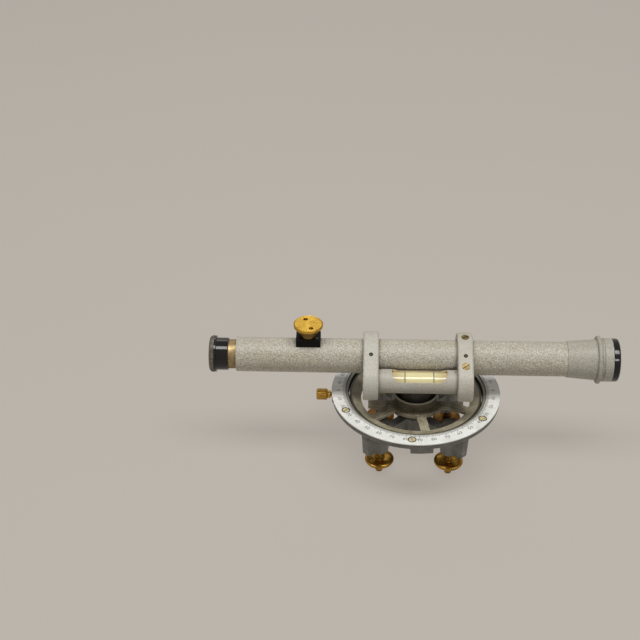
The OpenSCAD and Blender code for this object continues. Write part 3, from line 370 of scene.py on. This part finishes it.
def wheel_metal(name):
    """Old bronze with remains of silvering, brown on its hub; painted shade in its hollows, at its
    outer edge and, black, in its collar; painted highlight on its pale edges and the collar's rim.
    """
    look = Look(name, Metallic=0.0, Specular_IOR_Level=0.45)
    broad = look.noise(120.0, 5.0, 0.7)
    fine = look.noise(1400.0, 3.0, 0.6, (0.4, 0.5, 0.1))
    radius, height = look.from_axis(), look.height()
    silvered = look.mix(look.ramp(broad, 0.36, 0.64), srgb(126, 117, 94), srgb(168, 160, 136))
    hub = look.mix(look.ramp(broad, 0.36, 0.64), srgb(98, 87, 68), srgb(132, 120, 98))
    uneven = look.math("ADD", radius, look.times(broad, 0.003))
    colour = look.mix(look.beyond(uneven, HUB_R + 0.5, HUB_R + 3.5), hub, silvered)
    colour = look.cover(colour, look.ramp(fine, 0.5, 0.7), 0.3, srgb(70, 60, 44))
    # Darker in hollows: painted shade.
    colour = look.cover(colour, look.hollows(5.0), 0.65, srgb(34, 28, 19))
    # Pale inner edges of the rim and the hub: partly wear, partly painted highlight where the edges
    # catch light.
    worn = look.times(look.edges(0.5), look.ramp(broad, 0.30, 0.45))
    worn = look.times(worn, look.within(radius, WHEEL_R - 3.0, WHEEL_R - 2.5))
    colour = look.cover(colour, worn, 0.8, srgb(222, 214, 190))
    # Dark outer edge of the wheel: painted shade in the gap round it.
    outer_edge_shade = look.beyond(radius, WHEEL_R - 1.9, WHEEL_R - 1.5)
    colour = look.cover(colour, outer_edge_shade, 0.9, srgb(32, 29, 24))
    # Near black inside the collar: painted shadow.
    bore = look.within(radius, COLLAR_IN + 0.1, COLLAR_IN + 0.3)
    colour = look.mix(bore, colour, srgb(14, 13, 12))
    collar = look.within(radius, HUB_R - 4.0, HUB_R - 3.5)
    raised = look.times(collar, look.beyond(height, WHEEL_TOP - 1.0, WHEEL_TOP - 0.5))
    wall = look.times(raised, look.beyond(radius, COLLAR_OUT - 0.2, COLLAR_OUT - 0.1))
    colour = look.cover(colour, wall, 0.6, srgb(92, 81, 64))
    # Pale top rim of the collar: painted highlight.
    collar_highlight = look.times(look.beyond(radius, COLLAR_IN + 0.3, COLLAR_IN + 0.5),
                     look.beyond(height, DIAL_TOP - 0.6, DIAL_TOP - 0.4))
    colour = look.cover(colour, collar_highlight, collar, srgb(214, 206, 182))
    look.set("Base Color", colour)
    look.set("Roughness", look.ramp(broad, 0.3, 0.7, 0.34, 0.6))
    look.bump(look.math("ADD", broad, fine), 0.3, 0.08, 0.35)
    return look.mat


def lens_glass(name, tint):
    """Clear glass or spirit, faintly smeared."""
    look = Look(name, Metallic=0.0, Roughness=0.02, Transmission_Weight=1.0, IOR=1.5,
                Coat_Weight=0.4, Coat_Roughness=0.03)
    smear = look.noise(90.0, 3.0, 0.6)
    look.set("Base Color", look.mix(look.ramp(smear, 0.3, 0.7), tint,
                                    tuple(0.96 * value for value in tint)))
    look.bump(smear, 0.05, 0.02)
    return look.mat


def vial_cream(name):
    """Milky glass of the vial, warmer towards both ends."""
    look = Look(name, Metallic=0.0, Roughness=0.16, Coat_Weight=0.3, Coat_Roughness=0.05,
                Subsurface_Weight=0.15, IOR=1.5)
    reach = look.math("ADD", look.along_x(WINDOW_X), look.times(look.noise(120.0), 0.004))
    end = look.beyond(reach, LINE_REACH + 0.1, 20.0)
    look.set("Base Color", look.mix(end, srgb(224, 206, 154), srgb(192, 168, 122)))
    look.bump(look.noise(60.0), 0.03, 0.05)
    return look.mat


def ink(name):
    """Dark filling of the graduations, faded in places."""
    look = Look(name, Metallic=0.0)
    tone = look.noise(900.0, 3.0, 0.6)
    look.set("Base Color", look.mix(look.ramp(tone, 0.35, 0.7), srgb(34, 33, 31),
                                    srgb(78, 76, 72)))
    look.set("Roughness", look.ramp(tone, 0.3, 0.7, 0.55, 0.75))
    look.bump(tone, 0.1, 0.02)
    return look.mat


KNOB_LOW, KNOB_HIGH = box_mm("knob_cap")
KNOB_X = (KNOB_LOW.x + KNOB_HIGH.x) / 2
LOOKS = {
    "tube": textured_enamel("tube_enamel", srgb(194, 190, 176), srgb(140, 134, 117),
                            srgb(96, 87, 68), 0.95, 0.30, 0.42, edge_wear_and_highlight=0.95),
    "cell": textured_enamel("cell_enamel", srgb(176, 173, 161), srgb(138, 134, 121),
                            srgb(104, 97, 82), 0.8, 0.22, 0.42),
    "yoke": textured_enamel("yoke_enamel", srgb(190, 187, 176), srgb(158, 153, 140),
                            srgb(122, 114, 97), 0.55, 0.14, 0.44, edge_wear_and_highlight=0.8),
    "vial_case": textured_enamel("vial_case_enamel", srgb(184, 181, 171), srgb(152, 148, 138),
                                 srgb(122, 115, 101), 0.5, 0.12, 0.44, bore=8.2),
    # The bar and the base get painted shade near the axis and above a height.
    "bar": smooth_enamel("bar_enamel", srgb(124, 119, 107), srgb(104, 98, 86), 0.44,
                         shade_r=14.0),
    "cast": smooth_enamel("cast_enamel", srgb(128, 127, 121), srgb(106, 104, 98), 0.42, 0.12, 0.4,
                          shade_r=45.0, shade_z=38.0),
    "scale": scale_metal("scale_silver"),
    "wheel": wheel_metal("old_bronze"),
    "cap": turned_metal("turned_brass", srgb(206, 166, 66), srgb(144, 104, 34), 0.23,
                        (KNOB_X, 0, 0)),
    "brass": metal("lacquered_brass", srgb(198, 152, 68), srgb(102, 74, 30), 0.20, 0.7, 160.0),
    # Darker copy of the brass for the rear levelling screws: painted shade.
    "brown": metal("shaded_rear_brass", srgb(116, 80, 34), srgb(58, 40, 18), 0.32, 0.7, 160.0),
    "clamp": metal("clamp_brass", srgb(216, 170, 80), srgb(128, 94, 40), 0.28, 0.5, 240.0),
    "skirt": metal("skirt_brass", srgb(150, 118, 70), srgb(84, 62, 36), 0.30, 0.6, 240.0),
    "screw": metal("screw_brass", srgb(255, 248, 206), srgb(228, 206, 142), 0.42, 0.35, 500.0),
    "lock": metal("lock_brass", srgb(136, 120, 84), srgb(90, 76, 50), 0.44, 0.6, 400.0),
    "pale": metal("pale_brass", srgb(166, 146, 108), srgb(96, 78, 50), 0.42, 0.6, 200.0),
    "steel": metal("machined_steel", srgb(178, 178, 176), srgb(120, 116, 108), 0.28, 0.5, 200.0),
    "grub": metal("grub_steel", srgb(92, 88, 78), srgb(52, 48, 40), 0.40, 0.6, 300.0),
    "black": lacquer("black_lacquer", srgb(8, 8, 9), srgb(40, 37, 32), 0.13, 0.08, 0.7),
    "block": lacquer("block_lacquer", srgb(13, 12, 11), srgb(40, 36, 31), 0.46, 0.2),
    "dusty": lacquer("dusty_black", srgb(58, 54, 48), srgb(132, 124, 108), 0.48, 0.9),
    "glass": lens_glass("lens_glass", (0.93, 0.96, 0.95)),
    "spirit": lens_glass("spirit", (0.96, 0.93, 0.66)),
    "vial": vial_cream("vial_cream"),
    "ink": ink("scale_ink"),
}
WEARS = {
    "tube": ["telescope_tube"],
    "cell": ["objective_cell"],
    "yoke": ["yoke_left", "yoke_right", "vial_plugs"],
    "vial_case": ["vial_tube"],
    "bar": ["level_bar"],
    "cast": ["leveling_base"],
    "scale": ["graduated_circle"],
    "wheel": ["vernier_wheel"],
    "cap": ["knob_cap"],
    "brass": ["leveling_screw_3", "leveling_screw_4", "foot_cup_3", "foot_cup_4"],
    "brown": ["leveling_screw_1", "leveling_screw_2", "foot_cup_1", "foot_cup_2"],
    "clamp": ["clamp_screw", "clamp_pad"],
    "skirt": ["knob_skirt"],
    "screw": ["circle_screws"],
    "lock": ["yoke_lock_screws"],
    "pale": ["centre_bush", "tripod_socket", "rear_bush", "eyepiece_tube", "focus_slide",
             "focus_pinion"],
    "steel": ["spindle", "spindle_washer", "spindle_nut", "hub_screws", "bar_screws",
              "vial_adjusting_screws"],
    "grub": ["yoke_grub_screws"],
    "black": ["objective_ring", "eyepiece_barrel"],
    "block": ["pinion_block"],
    "dusty": ["block_screws", "lens_retainer", "reticle_cell", "eyecup"],
    "glass": ["objective_crown", "objective_flint", "focusing_lens", "reticle_glass",
              "field_lens", "eye_lens"],
    "spirit": ["vial_liquid"],
    "vial": ["vial_glass"],
}
for look_name, worn_by in WEARS.items():
    for node_name in worn_by:
        mesh = nodes[node_name].data
        mesh.materials.clear()
        mesh.materials.append(LOOKS[look_name])


# Mesh helpers
def piece(name, mesh, look, body):
    """A piece of the scene, in its material, that rides a body and fills a material slot."""
    made = bpy.data.objects.new(name, mesh)
    bpy.context.scene.collection.objects.link(made)
    mesh.materials.clear()
    mesh.materials.append(LOOKS[look])
    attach(made, body)
    return made


def mesh_from(name, build):
    """A mesh that build fills in, given a bmesh in millimetres."""
    work = bmesh.new()
    build(work)
    bmesh.ops.recalc_face_normals(work, faces=work.faces)
    bmesh.ops.scale(work, vec=(MM, MM, MM), verts=work.verts)
    made = bpy.data.meshes.new(name)
    work.to_mesh(made)
    work.free()
    return made


def add_block(work, corners_low, corners_high):
    """A closed block between two four-cornered faces."""
    low = [work.verts.new(corner) for corner in corners_low]
    high = [work.verts.new(corner) for corner in corners_high]
    work.faces.new(low[::-1])
    work.faces.new(high)
    for i in range(4):
        j = (i + 1) % 4
        work.faces.new((low[i], low[j], high[j], high[i]))


def polar(radius, degrees, z=0.0):
    """A point at a radius and an angle round the vertical axis."""
    turn = math.radians(degrees)
    return Vector((AXIS_X + radius * math.cos(turn), radius * math.sin(turn), z))


def shade_smooth(mesh, crease=32.0):
    """Smooth faces, with sharp edges where the surface turns by more than crease degrees."""
    mesh.polygons.foreach_set("use_smooth", [True] * len(mesh.polygons))
    mesh.set_sharp_from_angle(angle=math.radians(crease))
    return mesh


def lathe(work, profile, count, place):
    """A closed surface of revolution; profile holds radius(turn) and z pairs, foot to top."""
    rings = []
    for radius, z in profile:
        rings.append([work.verts.new(place(radius(k / count), k / count, z))
                      for k in range(count)])
    for low, high in zip(rings, rings[1:]):
        for k in range(count):
            n = (k + 1) % count
            work.faces.new((low[k], low[n], high[n], high[k]))
    work.faces.new(rings[0][::-1])
    work.faces.new(rings[-1])


# Levelling screws, in millimetres: thread, disc with its knurled edge, neck and ball
THREAD_PITCH = 1.0
THREAD_R = 3.2
THREAD_ROOT = 2.72
THREAD_START = 0.6
THREAD_LEN = 13.4
THREAD_STEPS = 6
SHANK_LEN = 26.0
DISC_R = 10.9
DISC_H = 3.5
DISC_BOSS_R = 4.2
UNDER_ROUND = 1.1
CORNER = 0.5
KNURLS = 44
KNURL_DEPTH = 0.42
NECK_R = 1.7
BALL_R = 2.0
BALL_DROP = 7.5
REAR_SCREWS = (1, 2)


def screw_profile(disc_top):
    """Radius and height, foot to top, of a levelling screw whose disc tops out at disc_top."""
    def plain(r):
        return lambda turn: r

    def knurled(r, depth):
        return lambda turn: r - depth * (round(turn * 2 * KNURLS) % 2)

    def threaded(z):
        def radius(turn):
            phase = (z / THREAD_PITCH - turn) % 1.0
            ridge = min(1.0, max(0.0, 1.25 - abs(phase - 0.5) * 3.4))
            return THREAD_ROOT + (THREAD_R - THREAD_ROOT) * ridge
        return radius

    def arc(centre_r, centre_z, radius, angles):
        turns = [math.radians(angle) for angle in angles]
        return [(plain(centre_r + radius * math.cos(turn)), centre_z + radius * math.sin(turn))
                for turn in turns]

    under = disc_top - DISC_H
    # Ball and neck
    rows = arc(0.0, disc_top - BALL_DROP, BALL_R, range(-60, 39, 14))
    rows += [(plain(NECK_R), under - 0.4), (plain(DISC_BOSS_R), under)]
    # Rounded lower edge of the disc, and its knurling
    rows += arc(DISC_R - CORNER - UNDER_ROUND, under + UNDER_ROUND, UNDER_ROUND, range(-75, 1, 15))
    rows += [(knurled(DISC_R - 0.15, 0.1), under + 1.35),
             (knurled(DISC_R, KNURL_DEPTH), under + 1.6),
             (knurled(DISC_R, KNURL_DEPTH), disc_top - 0.95),
             (knurled(DISC_R - 0.2, 0.12), disc_top - 0.8)]
    # Upper face and boss
    rows += [(plain(DISC_R - CORNER), disc_top - 0.6),
             (plain(DISC_R - 1.8), disc_top - 0.06),
             (plain(DISC_R - 2.1), disc_top),
             (plain(DISC_BOSS_R), disc_top),
             (plain(DISC_BOSS_R - 0.4), disc_top + 0.4),
             (plain(THREAD_ROOT), disc_top + 0.45)]
    # Thread, and the plain end above it
    for step in range(int(THREAD_LEN * THREAD_STEPS / THREAD_PITCH)):
        z = disc_top + THREAD_START + THREAD_PITCH * step / THREAD_STEPS
        rows.append((threaded(z), z))
    top = disc_top + SHANK_LEN
    shank = disc_top + THREAD_START + THREAD_LEN
    rows += [(plain(THREAD_ROOT), shank + 0.1), (plain(THREAD_R), shank + 0.6),
             (plain(THREAD_R), top - 0.8), (plain(THREAD_R - 0.8), top)]
    return rows


def detailed_screw(number):
    """A levelling screw with its thread and knurling, in place of the plain one."""
    node = f"leveling_screw_{number}"
    low, high = box_mm(node)
    centre = (low + high) / 2

    def place(radius, turn, z):
        angle = 2 * math.pi * turn
        return centre.x + radius * math.cos(angle), centre.y + radius * math.sin(angle), z

    def build(work):
        lathe(work, screw_profile(high.z - SHANK_LEN), 2 * KNURLS, place)

    name = f"threaded_screw_{number}"
    # The two rear screws take the darker copy of the brass: painted shade.
    look = "brown" if number in REAR_SCREWS else "brass"
    made = piece(name, shade_smooth(mesh_from(name, build), 28.0), look,
                 f"foot_screw_{number}")
    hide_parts(node)


for screw_number in range(1, 5):
    detailed_screw(screw_number)


# Markings of the circle and the wheel: angles in degrees, lengths in millimetres
DIAL_90 = -88.5
WELD = 1e-4
MARK_DEPTH = 0.06
MARK_RISE = 0.015
# How often each kind of line comes and its length, the longest kind first
TICK_LENGTHS = ((10, 3.2), (5, 2.6), (1, 1.8))
VERNIER_LENGTHS = ((6, 2.6), (3, 1.9), (1, 1.3))
VERNIER_HALF = 12
TICK_START = DIAL_IN + 0.4
TICK_WIDTH = 0.34
NUMBER_R = DIAL_IN + 5.6
NUMBER_H = 2.7
TEXT_SIZE = 1.42 * NUMBER_H
VERNIER_MIDDLES = (-81, 99)
VERNIER_STEP = 0.95
VERNIER_OUT = WHEEL_R - 1.6
VERNIER_WIDTH = 0.17
CIRCLE_SCREWS = 6
FIRST_SCREW = -94
SCREW_RIM = (2.4, 3.2)
SCREW_RIM_RISE = 0.02


def dial_number(step):
    """The number at a mark, step tens of degrees from the front mark: 90 down to 0 and up."""
    folded = step % 18
    return 90 - 10 * folded if folded <= 9 else 10 * (folded - 9)


def tick_length(number, lengths):
    """The length of the longest kind of line that comes at a number."""
    return next(length for every, length in lengths if number % every == 0)


def tick(work, degrees, inner, outer, width, top, fall=0.0):
    """A thin raised line along a radius; fall is how far its inner end lies lower."""
    side = (polar(1, degrees + 90) - polar(0, 0)) * width / 2
    ends = [(inner, top - fall), (outer, top)]
    corners = ((ends[0], -1), (ends[1], -1), (ends[1], 1), (ends[0], 1))
    high = [polar(r, degrees, z) + side * s for (r, z), s in corners]
    low = [corner - Vector((0, 0, MARK_DEPTH)) for corner in high]
    add_block(work, low, high)


def dial_ticks(work):
    """A line for each degree of the circle, longer at fives and tens."""
    for degree in range(360):
        length = tick_length(degree, TICK_LENGTHS)
        tick(work, DIAL_90 + degree, TICK_START, TICK_START + length, TICK_WIDTH,
             DIAL_TOP + MARK_RISE)


def vernier_ticks(work):
    """Two short scales on the wheel's sloping rim."""
    slope = RIM_FALL / (WHEEL_R - RIM_LAND_OUT - RIM_IN - RIM_LAND_IN)
    top = WHEEL_TOP + MARK_RISE - slope * (WHEEL_R - RIM_LAND_OUT - VERNIER_OUT)
    for middle in VERNIER_MIDDLES:
        for step in range(-VERNIER_HALF, VERNIER_HALF + 1):
            length = tick_length(step, VERNIER_LENGTHS)
            tick(work, middle + step * VERNIER_STEP, VERNIER_OUT - length, VERNIER_OUT,
                 VERNIER_WIDTH, top, length * slope)


def dial_numbers(name):
    """All the numbers of the circle in one mesh."""
    work = bmesh.new()
    for step in range(36):
        text = bpy.data.curves.new("number", "FONT")
        text.body = str(dial_number(step))
        text.size = TEXT_SIZE * MM
        text.align_x = "CENTER"
        text.align_y = "CENTER"
        text.extrude = 0.02 * MM
        text.resolution_u = 3
        text.space_character = 1.1
        holder = bpy.data.objects.new("number", text)
        angle = DIAL_90 + 10 * step
        place = Matrix.Translation(polar(NUMBER_R, angle, DIAL_TOP) * MM)
        place = place @ Matrix.Rotation(math.radians(angle + 90), 4, "Z")
        shape = holder.to_mesh()
        shape.transform(place)
        work.from_mesh(shape)
        holder.to_mesh_clear()
        bpy.data.objects.remove(holder)
        bpy.data.curves.remove(text)
    made = bpy.data.meshes.new(name)
    work.to_mesh(made)
    work.free()
    return made


def screw_rims(work, sides=32):
    """A thin dark ring round each screw of the circle."""
    inner, outer = SCREW_RIM
    for number in range(CIRCLE_SCREWS):
        angle = FIRST_SCREW + 360 / CIRCLE_SCREWS * number
        centre = polar((DIAL_R + DIAL_IN) / 2, angle, DIAL_TOP + SCREW_RIM_RISE)
        for k in range(sides):
            here, there = (2 * math.pi * (k + s) / sides for s in (0, 1))
            corners = ((inner, here), (outer, here), (outer, there), (inner, there))
            high = [centre + Vector((r * math.cos(turn), r * math.sin(turn), 0))
                    for r, turn in corners]
            low = [corner - Vector((0, 0, MARK_DEPTH)) for corner in high]
            add_block(work, low, high)
    bmesh.ops.remove_doubles(work, verts=work.verts, dist=WELD)


# Dark ring round the wheel: a painted shadow in the gap between the wheel and the base
LIP_GAP = 0.35
LIP_SEAT = 0.2
LIP_DROP = 1.7
LIP_H = 3.5
LIP_CORNER = 0.15
LIP_STEPS = 180
PAD_CLEAR = 0.5


def dust_lip(work):
    """A dark ring in the base's bore, round the wheel and open at the clamp's pad, standing in for
    the shadow in that gap.
    """
    inner, outer = WHEEL_R + LIP_GAP, LEDGE_IN + LIP_SEAT
    high = DIAL_TOP - LIP_DROP
    low = high - LIP_H
    section = [(outer, low), (outer, high), (inner + LIP_CORNER, high),
               (inner, high - LIP_CORNER), (inner, low)]
    pad = box_mm("clamp_pad")[1].y + PAD_CLEAR
    opening = math.degrees(math.asin(pad / inner))
    turn = (360 - 2 * opening) / LIP_STEPS
    lines = [[work.verts.new(polar(r, opening - 180 + turn * k, z)) for k in range(LIP_STEPS + 1)]
             for r, z in section]
    for near, far in zip(lines, lines[1:] + lines[:1]):
        for k in range(LIP_STEPS):
            work.faces.new((near[k], near[k + 1], far[k + 1], far[k]))
    work.faces.new([line[0] for line in lines])
    work.faces.new([line[-1] for line in lines[::-1]])


# The dark ring is a painted shadow in the gap round the wheel.
piece("dust_lip", mesh_from("dust_lip", dust_lip), "block", "base")
piece("screw_rims", mesh_from("screw_rims", screw_rims), "ink", "base")
piece("dial_ticks", mesh_from("dial_ticks", dial_ticks), "ink", "base")
piece("dial_numbers", dial_numbers("dial_numbers"), "ink", "base")
piece("vernier_ticks", mesh_from("vernier_ticks", vernier_ticks), "ink", "alidade")


# Lines on the vial
LINE_HALF = 0.3
LINE_SINK, LINE_RISE = 0.05, 0.03
LINE_STEPS = 40
LINE_FROM, LINE_SWEEP = 10, 160


def vial_lines(work):
    """Two black lines round the upper side of the glass."""
    for x in (WINDOW_X - LINE_REACH, WINDOW_X + LINE_REACH):
        for i in range(LINE_STEPS):
            turn = [math.radians(LINE_FROM + LINE_SWEEP * (i + k) / LINE_STEPS) for k in (0, 1)]
            inner, outer = [
                [(x + s * LINE_HALF, VIAL_Y + r * math.cos(turn[k]), VIAL_Z + r * math.sin(turn[k]))
                 for s, k in ((-1, 0), (1, 0), (1, 1), (-1, 1))]
                for r in (GLASS_R - LINE_SINK, GLASS_R + LINE_RISE)]
            add_block(work, inner, outer)
    bmesh.ops.remove_doubles(work, verts=work.verts, dist=WELD)


piece("vial_lines", mesh_from("vial_lines", vial_lines), "ink", "alidade")


# Floor, light and camera
BACKGROUND = srgb(181, 174, 165)
FLOOR_SIZE = 12
FLOOR_GLOW = 0.80
WORLD_LIGHT = 0.20
LAMP_AIM = Vector((0, 0, 0.06))
# Place, width and depth in metres, and power in watts, of each lamp
LAMPS = {
    "key": ((0.0, -0.30, 1.52), 1.7, 0.5, 23.0),
    "front": ((0.39, -1.25, 0.98), 0.3, 0.22, 2.1),
    "rear": ((-0.1, 1.15, 0.90), 0.7, 0.4, 1.15),
}
# Place in millimetres, angles down, aside and round in degrees, and lens, of the camera
CAMERA_PLACE = (AXIS_X - 41.5, -774.2, 652.0)
CAMERA_ANGLES = (34.53, -2.21, -0.37)
FOCAL_PIXELS, PICTURE_PIXELS = 1300, 640


def seen_directly(tree):
    """1 for what the camera sees, directly or in metal and glass, and 0 for other light."""
    path = tree.nodes.new("ShaderNodeLightPath").outputs
    seen = path["Is Camera Ray"]
    for other in ("Is Glossy Ray", "Is Transmission Ray"):
        either = tree.nodes.new("ShaderNodeMath")
        either.operation = "MAXIMUM"
        tree.links.new(seen, either.inputs[0])
        tree.links.new(path[other], either.inputs[1])
        seen = either.outputs[0]
    return seen


def floor_look():
    """Pale ground, mostly at its own colour for the camera, with a soft shadow."""
    look = Look("floor", Roughness=0.7, Specular_IOR_Level=0.2)
    tone = look.noise(3.0, 2.0, 0.5)
    look.set("Base Color", look.mix(tone, srgb(208, 202, 194), srgb(200, 194, 186)))
    glow = look.add("ShaderNodeEmission", {"Color": (*BACKGROUND, 1.0), "Strength": 1.0})
    share = look.times(seen_directly(look.tree), FLOOR_GLOW)
    blend = look.add("ShaderNodeMixShader", {0: share})
    look.tree.links.new(look.shader.outputs[0], blend.inputs[1])
    look.tree.links.new(glow.outputs[0], blend.inputs[2])
    look.tree.links.new(blend.outputs[0], look.tree.nodes["Material Output"].inputs["Surface"])
    return look.mat


def studio_world():
    """The background's colour where it is seen, and a low even light elsewhere."""
    world = bpy.data.worlds.new("studio")
    bpy.context.scene.world = world
    world.use_nodes = True
    tree = world.node_tree
    back = tree.nodes["Background"]
    mix = tree.nodes.new("ShaderNodeMix")
    mix.data_type = "RGBA"
    tree.links.new(seen_directly(tree), mix.inputs[0])
    mix.inputs[6].default_value = (WORLD_LIGHT, WORLD_LIGHT, WORLD_LIGHT, 1)
    mix.inputs[7].default_value = (*BACKGROUND, 1)
    tree.links.new(mix.outputs[2], back.inputs["Color"])
    back.inputs["Strength"].default_value = 1.0


def lamps():
    """Oblong lamps, all aimed at the object."""
    for name, (place, width, depth, power) in LAMPS.items():
        lamp = bpy.data.lights.new(name, "AREA")
        lamp.shape = "RECTANGLE"
        lamp.size, lamp.size_y = width, depth
        lamp.energy = power
        holder = bpy.data.objects.new(name, lamp)
        holder.location = place
        aim = LAMP_AIM - Vector(place)
        holder.rotation_euler = aim.to_track_quat("-Z", "Y").to_euler()
        bpy.context.scene.collection.objects.link(holder)


def stage():
    """The floor, the world and the lamps."""
    bpy.ops.mesh.primitive_plane_add(size=FLOOR_SIZE)
    floor = bpy.context.object
    floor.name = "floor"
    floor.data.materials.append(floor_look())
    studio_world()
    lamps()


def camera():
    """The photograph's camera, from its place, its angles and its lens."""
    pitch, yaw, roll = (math.radians(angle) for angle in CAMERA_ANGLES)
    place = Vector(CAMERA_PLACE) * MM
    ahead = Vector((math.sin(yaw) * math.cos(pitch), math.cos(yaw) * math.cos(pitch),
                    -math.sin(pitch)))
    right = Vector((math.cos(yaw), -math.sin(yaw), 0))
    up = right.cross(ahead)
    side = right * math.cos(roll) + up * math.sin(roll)
    top = up * math.cos(roll) - right * math.sin(roll)
    data = bpy.data.cameras.new("camera")
    data.sensor_width = 36
    data.lens = data.sensor_width * FOCAL_PIXELS / PICTURE_PIXELS
    data.clip_start, data.clip_end = 0.05, 30
    holder = bpy.data.objects.new("camera", data)
    holder.matrix_world = Matrix.Translation(place) @ Matrix(
        (side, top, -ahead)).transposed().to_4x4()
    bpy.context.scene.collection.objects.link(holder)
    bpy.context.scene.camera = holder


stage()
camera()
bpy.context.scene.view_settings.view_transform = "Standard"
